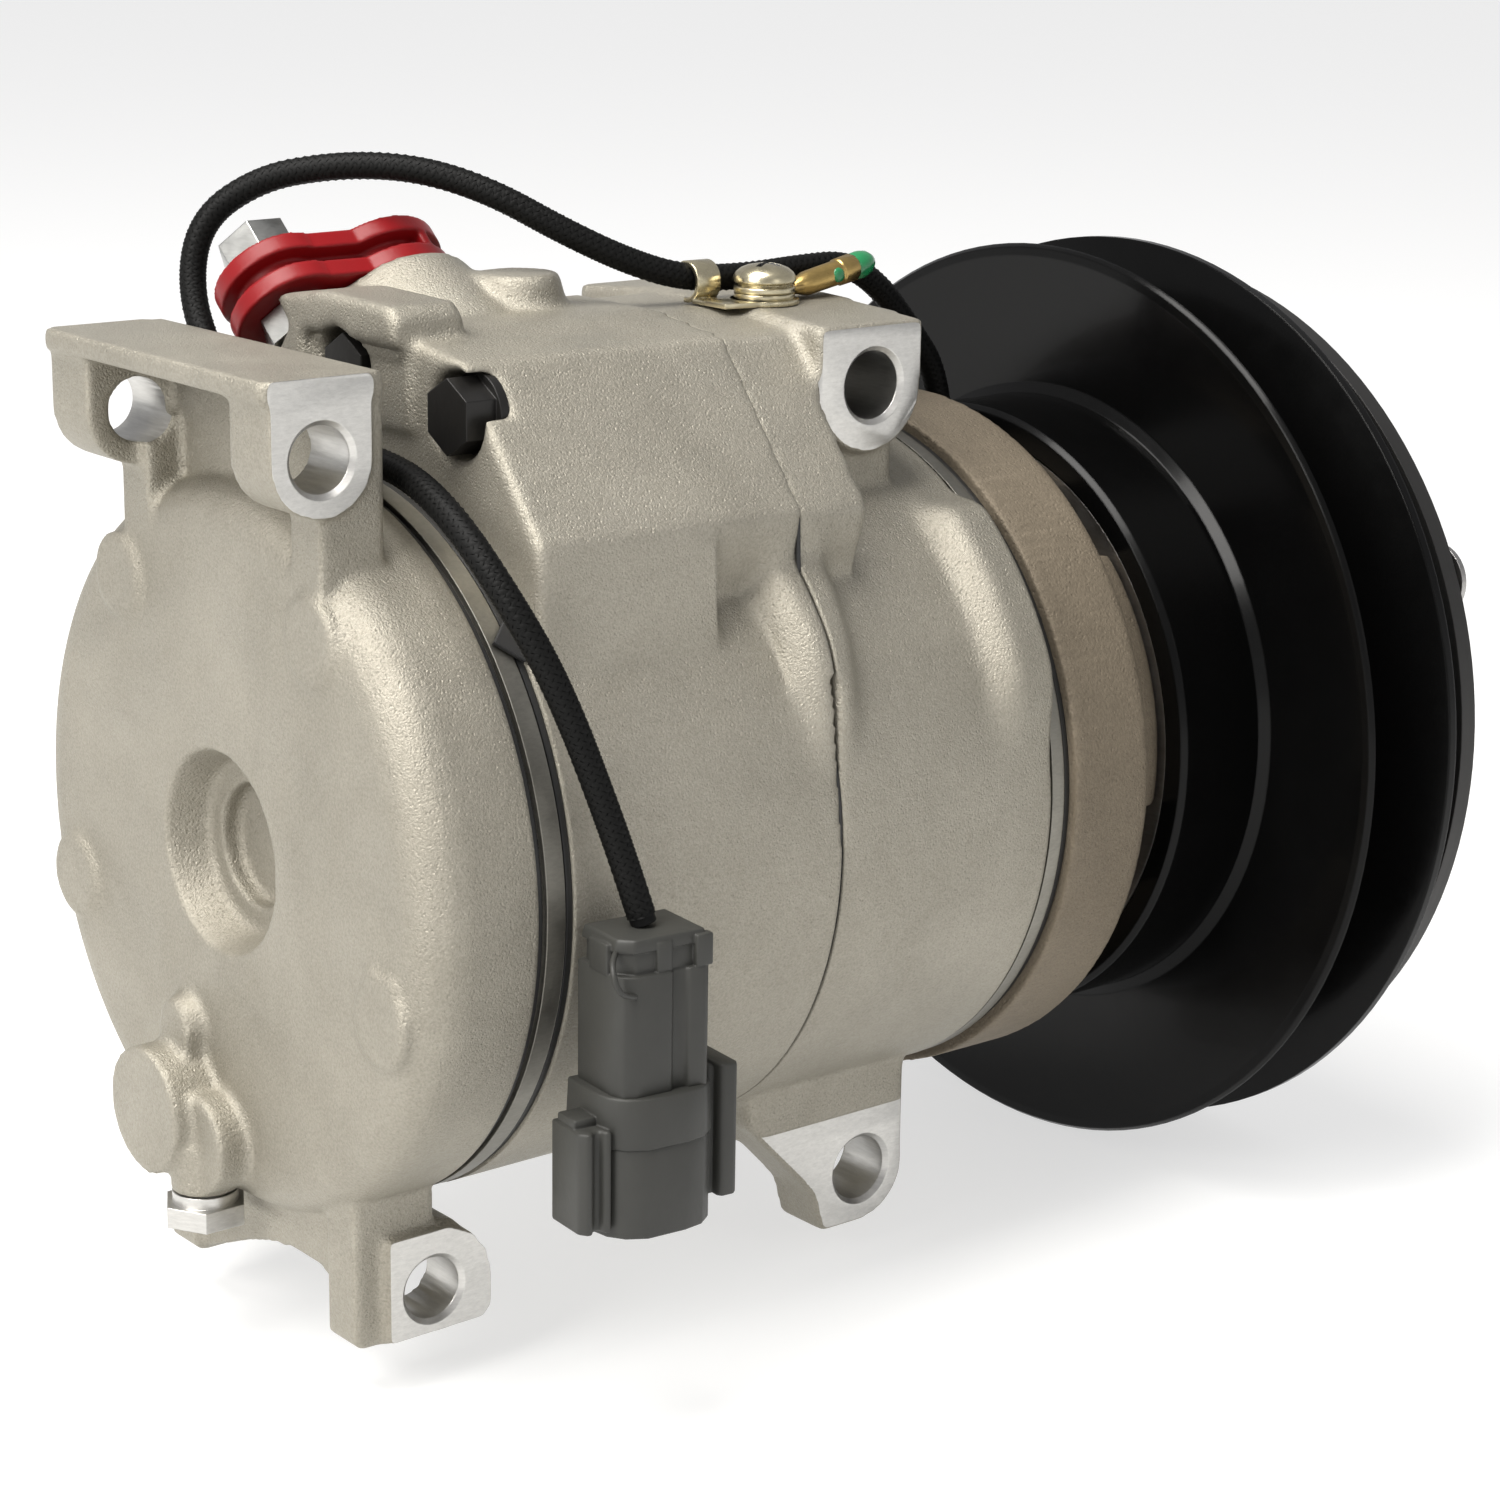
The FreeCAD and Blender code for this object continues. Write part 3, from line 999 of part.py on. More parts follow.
def connector():
    """Two-part connector that hangs on the lead: an upper plug in a wider sleeve with side guides."""
    x, y = "ConnectorX", "ConnectorY"

    def rounded_post(name, low, high, length, width, corner):
        """An upright post with rounded corners."""
        pieces = [
            block(name + "_a", ("%s - %g" % (x, length / 2 - corner), "%s + %g" % (x, length / 2 - corner)),
                  ("%s - %g" % (y, width / 2), "%s + %g" % (y, width / 2)), (low, high)),
            block(name + "_b", ("%s - %g" % (x, length / 2), "%s + %g" % (x, length / 2)),
                  ("%s - %g" % (y, width / 2 - corner), "%s + %g" % (y, width / 2 - corner)), (low, high))]
        for number, (along, across) in enumerate(((1, 1), (1, -1), (-1, 1), (-1, -1))):
            pieces.append(rod("%s_corner_%d" % (name, number), "z", low, high, "%g" % corner,
                              x="%s + %g" % (x, along * (length / 2 - corner)),
                              y="%s + %g" % (y, across * (width / 2 - corner))))
        return pieces

    upper = fused("connector_upper", rounded_post("upper_post", "-22.5", "0", 14.4, 11.6, 3))
    tools = [block("latch_slot", ("%s - 1" % x, "%s + 5" % x), ("%s - 7" % y, "%s - 5.2" % y), ("-8", "1"))]
    node("connector_plug", carved("connector_plug", upper, tools))
    sleeve = fused("connector_sleeve_solid", rounded_post("sleeve_post", "-42.5", "-22.5", 17, 14, 4.5) + [
        block("sleeve_front_guide", ("%s + 6" % x, "%s + 13" % x), ("%s - 3" % y, "%s + 6" % y), ("-40.5", "-20.5")),
        block("sleeve_rear_guide", ("%s - 12" % x, "%s - 6" % x), ("%s - 4" % y, "%s + 4" % y), ("-40.5", "-25"))])
    socket = [block("sleeve_socket", ("%s - 6" % x, "%s + 6" % x), ("%s - 4.5" % y, "%s + 4.5" % y),
                    ("-43", "-29.5")),
              block("front_guide_slot", ("%s + 9.4" % x, "%s + 10.6" % x), ("%s - 4" % y, "%s + 1" % y),
                    ("-41", "-20"))]
    node("connector_sleeve", carved("connector_sleeve", sleeve, socket))


# ---------------------------------------------------------------- build, check, write

rear_housing()
head_stacks()
rear_block()
block_seal()
front_block()
front_housing()
through_bolts()
saddle_screws()
dowel_pins()
relief_valve()
port_cap()
shaft_parts()
pistons()
shaft_bearings()
shaft_seal_parts()
field_coil()
pulley_parts()
armature()
clutch_hub()
clip_parts()
harness()
connector()
doc.recompute()

faults = []
for thing in doc.Objects:
    if "Invalid" in thing.State or "Error" in thing.State:
        faults.append("%s: %s" % (thing.Name, thing.State))
for thing in nodes:
    if thing.Shape.isNull() or not thing.Shape.isValid() or not thing.Shape.Solids:
        faults.append("%s: bad shape" % thing.Label)
if faults:
    raise RuntimeError("\n".join(faults))

os.makedirs("parts", exist_ok=True)
for thing in nodes:
    thing.Shape.exportStep("parts/%s.step" % thing.Label)
    box = thing.Shape.BoundBox
    print("%-24s %2d solids  x %7.1f %7.1f  y %6.1f %6.1f  z %6.1f %6.1f  %9.0f mm3" % (
        thing.Label, len(thing.Shape.Solids), box.XMin, box.XMax, box.YMin, box.YMax, box.ZMin, box.ZMax,
        thing.Shape.Volume))
print(len(nodes), "nodes")
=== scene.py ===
import json
import math

import bmesh
import bpy
import numpy as np
from mathutils import Matrix, Vector


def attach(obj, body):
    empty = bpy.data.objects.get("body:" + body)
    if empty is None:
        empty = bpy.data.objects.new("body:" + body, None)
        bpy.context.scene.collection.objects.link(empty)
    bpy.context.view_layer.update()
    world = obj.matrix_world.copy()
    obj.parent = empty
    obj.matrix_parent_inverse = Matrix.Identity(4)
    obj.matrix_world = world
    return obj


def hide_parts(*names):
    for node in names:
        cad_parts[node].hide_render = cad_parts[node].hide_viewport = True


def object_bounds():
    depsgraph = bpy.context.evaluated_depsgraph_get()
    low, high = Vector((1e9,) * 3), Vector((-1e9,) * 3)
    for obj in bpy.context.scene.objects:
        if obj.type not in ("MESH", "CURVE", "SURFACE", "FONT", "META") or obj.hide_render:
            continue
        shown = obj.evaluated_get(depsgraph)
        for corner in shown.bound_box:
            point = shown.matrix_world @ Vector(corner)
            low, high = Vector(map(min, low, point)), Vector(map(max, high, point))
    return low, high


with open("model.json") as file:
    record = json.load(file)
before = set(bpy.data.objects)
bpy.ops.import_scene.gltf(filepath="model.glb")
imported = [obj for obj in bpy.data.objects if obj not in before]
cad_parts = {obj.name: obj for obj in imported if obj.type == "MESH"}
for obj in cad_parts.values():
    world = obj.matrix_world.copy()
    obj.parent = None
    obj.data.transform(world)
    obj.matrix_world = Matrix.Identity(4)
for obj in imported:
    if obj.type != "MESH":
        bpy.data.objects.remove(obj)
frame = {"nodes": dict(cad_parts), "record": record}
CAD_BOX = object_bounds()
NODES = frame["nodes"]
MM = 0.001  # every place and size below is in millimetres, unless it says otherwise


# ---------------------------------------------------------------- camera

YAW = math.radians(-39.216)
PITCH = math.radians(15.163)
ROLL = math.radians(0.923)
FOCAL_LENGTH = 82.78
CAMERA_PLACE = (-0.40633, -0.41107, 0.14353)  # metres

back = Vector((math.sin(YAW) * math.cos(PITCH), -math.cos(YAW) * math.cos(PITCH), math.sin(PITCH)))
level = Vector((math.cos(YAW), math.sin(YAW), 0))
upright = back.cross(level)
right = math.cos(ROLL) * level + math.sin(ROLL) * upright
up = -math.sin(ROLL) * level + math.cos(ROLL) * upright

lens = bpy.data.cameras.new("camera")
lens.sensor_width = 36
lens.lens = FOCAL_LENGTH
lens.clip_start = 0.01
lens.clip_end = 50
camera = bpy.data.objects.new("camera", lens)
bpy.context.scene.collection.objects.link(camera)
turn = Matrix((right, up, back)).transposed().to_4x4()
camera.matrix_world = Matrix.Translation(CAMERA_PLACE) @ turn
bpy.context.scene.camera = camera


# ---------------------------------------------------------------- harness

# the cable's way from its grommet in the coil, over the saddle and behind the cap, to the connector
ROUTE = [
    (-28.5, 4, 48.5), (-30, 3.6, 56.5), (-37, 2.5, 64), (-45, 0.6, 71.5), (-54.5, -2, 76.4), (-65, -3.2, 76.5),
    (-76.5, -3.4, 75.9), (-88, -3.1, 76.4), (-97.5, -1, 79.6), (-106.5, 2.8, 84.3), (-113.4, 8, 89),
    (-119.3, 14.5, 91.9), (-125, 20.5, 93), (-131.3, 27, 92.6), (-138.4, 34, 90.6), (-145.3, 39.5, 84.6),
    (-148, 39, 75), (-149, 32, 65.6), (-149.4, 21.5, 59.4), (-150, 11, 57.2), (-150.6, 0, 57),
    (-150.9, -10.5, 57.2), (-151.5, -21.5, 57), (-153.2, -32.5, 55.5), (-154, -42, 51.5),
    (-152.6, -49, 44.5), (-149.2, -53, 36), (-146, -55.3, 27), (-143.2, -57.2, 17.8), (-140.8, -59.3, 8.8),
    (-138.8, -61.3, 0),
]
CABLE_RADIUS = 2 * MM


def placed(name, data):
    """A new object in the scene that shows a mesh, curve or light."""
    piece = bpy.data.objects.new(name, data)
    bpy.context.scene.collection.objects.link(piece)
    return piece


def smooth_curve(name, places, radius, rounds):
    """An open smooth curve past places, with a round section of radius metres."""
    curve = bpy.data.curves.new(name, "CURVE")
    curve.dimensions = "3D"
    curve.resolution_u = 12
    curve.bevel_depth = radius
    curve.bevel_resolution = rounds
    curve.use_fill_caps = True
    spline = curve.splines.new("NURBS")
    spline.points.add(len(places) - 1)
    for point, place in zip(spline.points, places):
        point.co = (*(value * MM for value in place), 1)
    spline.order_u = 3
    spline.use_endpoint_u = True
    return placed(name, curve)


# the braid that covers the core brings it to the cable's own radius
cable = smooth_curve("harness_core", ROUTE, CABLE_RADIUS - 0.2 * MM, 4)


# ---------------------------------------------------------------- materials

class Shader:
    """A procedural material; places are in metres in the part's frame."""

    def __init__(self, name, **settings):
        self.material = bpy.data.materials.new(name)
        self.material.use_nodes = True
        self.tree = self.material.node_tree
        self.surface = self.tree.nodes["Principled BSDF"]
        for key, value in settings.items():
            self.surface.inputs[key.replace("_", " ")].default_value = value
        self.places = self.add("ShaderNodeTexCoord").outputs["Object"]

    def add(self, kind, **settings):
        node = self.tree.nodes.new(kind)
        for key, value in settings.items():
            setattr(node, key, value)
        return node

    def join(self, source, target):
        """Links an output to a socket, or sets the socket to a number or colour."""
        if hasattr(source, "is_output"):
            self.tree.links.new(source, target)
        else:
            target.default_value = source

    def noise(self, scale, detail=3, roughness=0.6, distortion=0, places=None):
        node = self.add("ShaderNodeTexNoise")
        node.inputs["Scale"].default_value = scale
        node.inputs["Detail"].default_value = detail
        node.inputs["Roughness"].default_value = roughness
        node.inputs["Distortion"].default_value = distortion
        self.join(places or self.places, node.inputs["Vector"])
        return node.outputs["Fac"]

    def cells(self, scale):
        """The distance to the nearest of a scatter of points."""
        node = self.add("ShaderNodeTexVoronoi", feature="F1")
        node.inputs["Scale"].default_value = scale
        self.join(self.places, node.inputs["Vector"])
        return node.outputs["Distance"]

    def stretched(self, x, y, z):
        """Places scaled along each axis, which draws a texture out into lines."""
        node = self.add("ShaderNodeMapping")
        node.inputs["Scale"].default_value = (x, y, z)
        self.join(self.places, node.inputs["Vector"])
        return node.outputs["Vector"]

    def span(self, value, low, high, first=0.0, last=1.0):
        """value from low..high to first..last, held at the ends."""
        node = self.add("ShaderNodeMapRange")
        self.join(value, node.inputs["Value"])
        for key, number in (("From Min", low), ("From Max", high), ("To Min", first), ("To Max", last)):
            node.inputs[key].default_value = number
        return node.outputs["Result"]

    def compute(self, operation, first, second=0.0):
        node = self.add("ShaderNodeMath", operation=operation)
        self.join(first, node.inputs[0])
        self.join(second, node.inputs[1])
        return node.outputs["Value"]

    def blend(self, share, first, second):
        """A colour between two; a colour is an output or three numbers."""
        node = self.add("ShaderNodeMix", data_type="RGBA")
        self.join(share, node.inputs["Factor"])
        sockets = [socket for socket in node.inputs if socket.type == "RGBA"]
        for socket, colour in zip(sockets, (first, second)):
            self.join(colour if hasattr(colour, "is_output") else (*colour, 1), socket)
        return [socket for socket in node.outputs if socket.type == "RGBA"][0]

    def rounded(self, radius):
        """The surface's normal with its edges rounded."""
        node = self.add("ShaderNodeBevel", samples=6)
        node.inputs["Radius"].default_value = radius
        return node.outputs["Normal"]

    def bumped(self, height, strength, distance, normal=None):
        node = self.add("ShaderNodeBump")
        node.inputs["Strength"].default_value = strength
        node.inputs["Distance"].default_value = distance
        self.join(height, node.inputs["Height"])
        if normal is not None:
            self.join(normal, node.inputs["Normal"])
        return node.outputs["Normal"]

    def about_shaft(self):
        """Places by distance from the shaft and along it, which draws a texture out into turned rings."""
        x, y, z = self.add_split(self.places)
        squares = [self.compute("MULTIPLY", value, value) for value in (y, z)]
        combined = self.add("ShaderNodeCombineXYZ")
        self.join(self.compute("SQRT", self.compute("ADD", *squares)), combined.inputs["X"])
        self.join(x, combined.inputs["Y"])
        return combined.outputs["Vector"]

    def add_split(self, places):
        node = self.add("ShaderNodeSeparateXYZ")
        self.join(places, node.inputs[0])
        return node.outputs

    def finish(self, colour, roughness, metallic, normal):
        for key, value in (("Base Color", colour), ("Roughness", roughness),
                           ("Metallic", metallic), ("Normal", normal)):
            self.join(value, self.surface.inputs[key])
        return self.material


def cast_metal(name, light, dark, grain, roughness, metallic, edge=0.9):
    """Sand-cast aluminium: grained skin, faint stains and small pits."""
    shader = Shader(name)
    cloud = shader.noise(28, 4, 0.65, 0.4)
    speckle = shader.noise(grain * 0.8, 2, 0.6)
    skin = shader.noise(grain, 3, 0.7)
    pits = shader.span(shader.cells(grain * 0.45), 0.0, 0.35)
    stain = shader.span(cloud, 0.3, 0.72, 0, 0.5)
    share = shader.compute("ADD", stain, shader.span(speckle, 0.38, 0.7, 0, 0.42))
    colour = shader.blend(share, light, dark)
    height = shader.compute("ADD", skin, shader.compute("MULTIPLY", pits, 0.5))
    coarse = shader.bumped(shader.noise(160, 2, 0.5), 0.1, 0.0012, shader.rounded(edge * MM))
    normal = shader.bumped(height, 0.7, 0.00028, coarse)
    rough = shader.span(shader.noise(90, 3, 0.6), 0.3, 0.7, roughness - 0.05, roughness + 0.08)
    return shader.finish(colour, rough, metallic, normal)


def milled_metal(name, colour, roughness, edge=0.25):
    """Machined aluminium or steel with fine cutter marks."""
    shader = Shader(name)
    lines = shader.noise(1, 4, 0.7, 0, shader.stretched(900, 250, 2600))
    tint = shader.blend(shader.span(lines, 0.3, 0.7), colour, [value * 0.82 for value in colour])
    normal = shader.bumped(lines, 0.12, 0.0002, shader.rounded(edge * MM))
    rough = shader.span(shader.noise(240, 3), 0.3, 0.7, roughness - 0.05, roughness + 0.08)
    return shader.finish(tint, rough, 1.0, normal)


def painted(name, colour, roughness, ripple, edge=0.4, metallic=0.0, coat=0.0, turned=False, shine=0.5):
    """Smooth paint, plastic or rubber with handling marks and a slight ripple, in rings where it is turned."""
    shader = Shader(name, Coat_Weight=coat, Coat_Roughness=0.06, Specular_IOR_Level=shine)
    marks = shader.noise(60, 5, 0.7)
    handled = [value * 0.75 + 0.001 for value in colour]
    tint = shader.blend(shader.span(marks, 0.35, 0.75, 0, 0.7), colour, handled)
    fine = shader.noise(420, 3, 0.6, 0, shader.about_shaft() if turned else shader.places)
    normal = shader.bumped(fine, ripple, 0.0004, shader.rounded(edge * MM))
    rough = shader.span(marks, 0.3, 0.75, roughness, roughness + 0.1)
    return shader.finish(tint, rough, metallic, normal)


CAST = {
    "cast_aluminium": ((0.375, 0.351, 0.296), (0.22, 0.204, 0.165), 3000, 0.48, 0.75),
    "sandy_aluminium": ((0.20, 0.165, 0.118), (0.115, 0.093, 0.065), 2300, 0.6, 0.4),
}
MILLED = {
    "bright_aluminium": ((0.60, 0.59, 0.565), 0.36),
    "plate_steel": ((0.25, 0.24, 0.21), 0.42),
    "spring_steel": ((0.42, 0.41, 0.40), 0.3),
    "swash_metal": ((0.45, 0.44, 0.43), 0.2),
    "piston_aluminium": ((0.72, 0.71, 0.69), 0.26),
    "coil_steel": ((0.30, 0.29, 0.28), 0.4),
    "white_zinc": ((0.50, 0.50, 0.48), 0.3),
    "gold_zinc": ((0.60, 0.54, 0.38), 0.27),
    "terminal_brass": ((0.50, 0.35, 0.13), 0.3),
}
PAINTED = {
    "gasket_black": dict(colour=(0.014, 0.014, 0.014), roughness=0.45, ripple=0.2),
    "black_bolt": dict(colour=(0.016, 0.015, 0.014), roughness=0.32, ripple=0.1, edge=0.3, metallic=0.5),
    "gloss_black": dict(colour=(0.0016, 0.0016, 0.0016), roughness=0.16, ripple=0.02, edge=0.5, coat=0.03,
                        turned=True, shine=0.13),
    "armature_grey": dict(colour=(0.035, 0.034, 0.033), roughness=0.42, ripple=0.1, edge=0.3, metallic=0.6,
                          turned=True),
    "copper_winding": dict(colour=(0.35, 0.13, 0.05), roughness=0.35, ripple=0.2, edge=0.2, metallic=0.8),
    "red_plastic": dict(colour=(0.21, 0.004, 0.006), roughness=0.34, ripple=0.12, edge=0.7, shine=0.3),
    "grey_plastic": dict(colour=(0.032, 0.032, 0.0285), roughness=0.42, ripple=0.12, shine=0.35),
    "green_bead": dict(colour=(0.01, 0.16, 0.055), roughness=0.22, ripple=0.05, coat=0.3),
    "black_braid": dict(colour=(0.0025, 0.0025, 0.0023), roughness=0.55, ripple=0.2, edge=0.05, shine=0.15),
}
FINISHES = {name: cast_metal(name, *look) for name, look in CAST.items()}
FINISHES.update({name: milled_metal(name, *look) for name, look in MILLED.items()})
FINISHES.update({name: painted(name, **look) for name, look in PAINTED.items()})

for part in frame["record"]["subparts"]:
    mesh = NODES[part["node"]].data
    mesh.materials.clear()
    mesh.materials.append(FINISHES[part["material_slot"]])


# ---------------------------------------------------------------- helpers for pieces

def shown(piece, body, slot, *stands_for):
    """Gives a new piece its finish, body and slot."""
    if not piece.data.materials:
        piece.data.materials.append(FINISHES[slot])
    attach(piece, body)
    if stands_for:
        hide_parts(*stands_for)
    return piece


def smooth_shaded(mesh, sharp_from=None):
    """Shades a mesh smooth, apart from edges that turn by sharp_from degrees or more."""
    mesh.polygons.foreach_set("use_smooth", [True] * len(mesh.polygons))
    if sharp_from:
        mesh.set_sharp_from_angle(angle=math.radians(sharp_from))


def from_bmesh(name, bm, sharp_from=32):
    """A piece from a bmesh in millimetres."""
    bmesh.ops.scale(bm, vec=(MM, MM, MM), verts=bm.verts)
    bmesh.ops.recalc_face_normals(bm, faces=bm.faces)
    mesh = bpy.data.meshes.new(name)
    bm.to_mesh(mesh)
    bm.free()
    smooth_shaded(mesh, sharp_from)
    return placed(name, mesh)


def evaluated(piece):
    """The piece's mesh after its modifiers; the piece itself is removed."""
    bpy.context.view_layer.update()
    graph = bpy.context.evaluated_depsgraph_get()
    mesh = bpy.data.meshes.new_from_object(piece.evaluated_get(graph))
    bpy.data.objects.remove(piece)
    return mesh


def beveled(piece, width):
    """Rounds a piece's edges for good."""
    name = piece.name
    modifier = piece.modifiers.new("bevel", "BEVEL")
    modifier.width = width * MM
    modifier.segments = 2
    modifier.limit_method = "ANGLE"
    modifier.angle_limit = math.radians(35)
    modifier.harden_normals = False
    mesh = evaluated(piece)
    mesh.name = name
    smooth_shaded(mesh, 40)
    return placed(name, mesh)


def extrude(bm, outline, low, high, turn=None, origin=(0, 0, 0), taper=0.0):
    """Adds a prism on the outline's (x, y), from low to high; its far end is smaller by the share taper."""
    turn = turn or Matrix.Identity(3)
    centre = Vector((sum(x for x, y in outline), sum(y for x, y in outline))) / len(outline)
    rings = []
    for level, share in ((low, 1.0), (high, 1.0 - taper)):
        ring = []
        for x, y in outline:
            flat = centre + (Vector((x, y)) - centre) * share
            ring.append(bm.verts.new(turn @ Vector((flat.x, flat.y, level)) + Vector(origin)))
        rings.append(ring)
    count = len(outline)
    for index in range(count):
        after = (index + 1) % count
        bm.faces.new((rings[0][index], rings[0][after], rings[1][after], rings[1][index]))
    bm.faces.new(rings[0][::-1])
    bm.faces.new(rings[1])


def lathe(bm, profile, base, axis, steps=48):
    """Adds a turned form about an axis from base: profile is (along, radius) from one end to the other."""
    spin = Vector((0, 0, 1)).rotation_difference(Vector(axis).normalized())
    rings = []
    for along, radius in profile:
        ring = []
        for step in range(steps):
            turn = 2 * math.pi * step / steps
            place = Vector((radius * math.cos(turn), radius * math.sin(turn), along))
            ring.append(bm.verts.new(spin @ place + Vector(base)))
        rings.append(ring)
    for first, second in zip(rings, rings[1:]):
        for step in range(steps):
            after = (step + 1) % steps
            bm.faces.new((first[step], first[after], second[after], second[step]))
    bm.faces.new(rings[0][::-1])
    bm.faces.new(rings[-1])


def cut(piece, cutter):
    """Cuts one closed form out of a piece; the cut faces take the cutter's material."""
    name = piece.name
    modifier = piece.modifiers.new("cut", "BOOLEAN")
    modifier.operation = "DIFFERENCE"
    modifier.solver = "EXACT"
    modifier.material_mode = "TRANSFER"
    modifier.object = cutter
    mesh = evaluated(piece)
    mesh.name = name
    bpy.data.objects.remove(cutter)
    return placed(name, mesh)


# ---------------------------------------------------------------- castings

BARREL = 53.5  # the cylinder blocks' outer radius
PAD = 29.65  # the machined faces' distance from the middle plane
THINNED = 0.4  # the share of a casting's faces that is kept
HELD = 0.9  # how far from a seam the skin stays as it is

# where each casting's flat faces lie along the shaft
REAR_COVER_SEAM = -150.5
REAR_BLOCK_SEAMS = (-144.5, -97.3)
FRONT_BLOCK_SEAMS = (-96.7, -56)
FRONT_COVER_SEAM = -51.7
VALVE_SEAT = (-170, 3)  # the relief valve's axis, in x and y


def voxel_copy(node, name, voxel, plugs=()):
    """A copy of a CAD node with an even skin, for shaping.

    plugs fill blind holes that another piece closes, each (base, radius, length) on +Z.
    """
    bm = bmesh.new()
    bm.from_mesh(NODES[node].data)
    for base, radius, length in plugs:
        lathe(bm, [(0, radius * MM), (length * MM, radius * MM)], Vector(base) * MM, (0, 0, 1))
    mesh = bpy.data.meshes.new(name + "_source")
    bm.to_mesh(mesh)
    bm.free()
    source = placed(name + "_source", mesh)
    remesh = source.modifiers.new("skin", "REMESH")
    remesh.mode = "VOXEL"
    remesh.voxel_size = voxel * MM
    return source


def softened(node, name, slot, voxel, passes, hold, seams, cutters=(), form=None, plugs=()):
    """A casting's skin with rounded edges and corners, then machined.

    passes is how often the skin is relaxed, and hold(places) is 1 where it stays as it is. seams are the
    flat faces across the shaft, which stay sharp. cutters are closed forms that leave machined faces. form(places) gives a radius about the shaft
    and how much the skin follows it.
    """
    skin = evaluated(voxel_copy(node, name, voxel, plugs))
    count = len(skin.vertices)
    places = np.empty(count * 3, np.float32)
    skin.vertices.foreach_get("co", places)
    places = places.reshape(-1, 3).astype(float)
    ends = np.empty(len(skin.edges) * 2, np.int32)
    skin.edges.foreach_get("vertices", ends)
    ends = ends.reshape(-1, 2)
    degree = np.bincount(ends.ravel(), minlength=count)[:, None]
    free = (1 - hold(places / MM))[:, None]

    def relax(share, rounds):
        for turn in range(rounds):
            total = np.zeros_like(places)
            for axis in range(3):
                total[:, axis] = (np.bincount(ends[:, 0], places[ends[:, 1], axis], count)
                                  + np.bincount(ends[:, 1], places[ends[:, 0], axis], count))
            places[:] += 0.5 * share * (total / degree - places)

    relax(free, passes)
    for level in seams:
        on_face = np.abs(places[:, 0] - level * MM) < 0.55 * voxel * MM
        reach = np.hypot(places[:, 1], places[:, 2])
        on_rim = on_face & (np.abs(reach - BARREL * MM) < 0.6 * MM)
        places[on_face, 0] = level * MM
        places[on_rim, 1:] *= (BARREL * MM / reach[on_rim])[:, None]
    if form:
        radius, follows = form(places / MM)
        reach = np.hypot(places[:, 1], places[:, 2])
        places[:, 1:] *= (1 + follows * (radius * MM / reach - 1))[:, None]
        relax((follows > 0)[:, None] * np.array([0, 1, 1]), 10)
    skin.vertices.foreach_set("co", places.astype(np.float32).ravel())
    skin.update()
    skin.materials.append(FINISHES[slot])
    piece = placed(name, skin)
    thin = piece.modifiers.new("thin", "DECIMATE")
    thin.ratio = THINNED
    mesh = evaluated(piece)
    mesh.name = name
    piece = placed(name, mesh)
    for cutter in cutters:
        piece = cut(piece, cutter)
    smooth_shaded(piece.data, 38)
    return shown(piece, "housing", slot, node)


def drill(name, x, z, radius, y_from, y_to):
    """A cutter along Y with a small chamfer at each mouth."""
    bm = bmesh.new()
    length = y_to - y_from
    chamfer = 0.75
    wide = radius + chamfer
    profile = [(-2, wide), (0, wide), (chamfer, radius), (length - chamfer, radius), (length, wide),
               (length + 2, wide)]
    lathe(bm, profile, (x, y_from, z), (0, 1, 0), 64)
    cutter = from_bmesh(name, bm)
    cutter.data.materials.append(FINISHES["bright_aluminium"])
    return cutter


def mill(name, low, high):
    """A box cutter that leaves machined faces."""
    bm = bmesh.new()
    extrude(bm, [(low[0], low[1]), (high[0], low[1]), (high[0], high[1]), (low[0], high[1])], low[2], high[2])
    cutter = from_bmesh(name, bm)
    cutter.data.materials.append(FINISHES["bright_aluminium"])
    return cutter


def at_seam(p, seam):
    """1 within HELD of a seam, falling to 0 over half as much again."""
    return np.clip(1 - (np.abs(p[:, 0] - seam) - HELD) / (0.5 * HELD), 0, 1)


def hold_rear(p):
    """The seam face, and the thin walls round the relief valve's seat."""
    seat = (np.abs(p - (*VALVE_SEAT, -47.5)) < (7, 6.5, 5)).all(axis=1)
    return np.maximum(at_seam(p, REAR_COVER_SEAM), seat)


def hold_rear_block(p):
    """Both seam faces, the rear one only within the barrel."""
    barrel = np.hypot(p[:, 1], p[:, 2]) < 54.2
    rear, middle = REAR_BLOCK_SEAMS
    return np.maximum(at_seam(p, rear) * barrel, at_seam(p, middle))


def hold_front_block(p):
    """Both seam faces."""
    middle, front = FRONT_BLOCK_SEAMS
    return np.maximum(at_seam(p, middle), at_seam(p, front))


def hold_front(p):
    """The seam face, and the nose that carries the bearing."""
    inner = np.hypot(p[:, 1], p[:, 2]) < 40
    return np.maximum(at_seam(p, FRONT_COVER_SEAM), inner)


def ramp(values, low, high):
    """0 below low, 1 above high, smooth between."""
    share = np.clip((values - low) / (high - low), 0, 1)
    return share * share * (3 - 2 * share)


def near_side(p):
    """The rib over the middle seam and the lobe beside the front one, below the saddle on the near side."""
    x = p[:, 0]
    turn = np.degrees(np.arctan2(p[:, 2], p[:, 1]))
    half = 8.0 - 0.12 * np.clip(turn - 140, 0, 30)
    rib = 4.8 * (1 - ramp(np.abs(x + 96.5), half - 4, half)) * (1 - ramp(turn, 146, 170))
    lobe = 3.4 * ramp(x, -67, -62) * ramp(turn, 123, 131) * (1 - ramp(turn, 156, 172))
    first = np.where(x > -78, 121, 132)
    follows = (ramp(turn - first, 0, 5) * (1 - ramp(turn, 172, 178))
               * (np.hypot(p[:, 1], p[:, 2]) > BARREL - 1.1) * (np.abs(x + 84) < 28.2))
    return BARREL + rib + lobe, follows


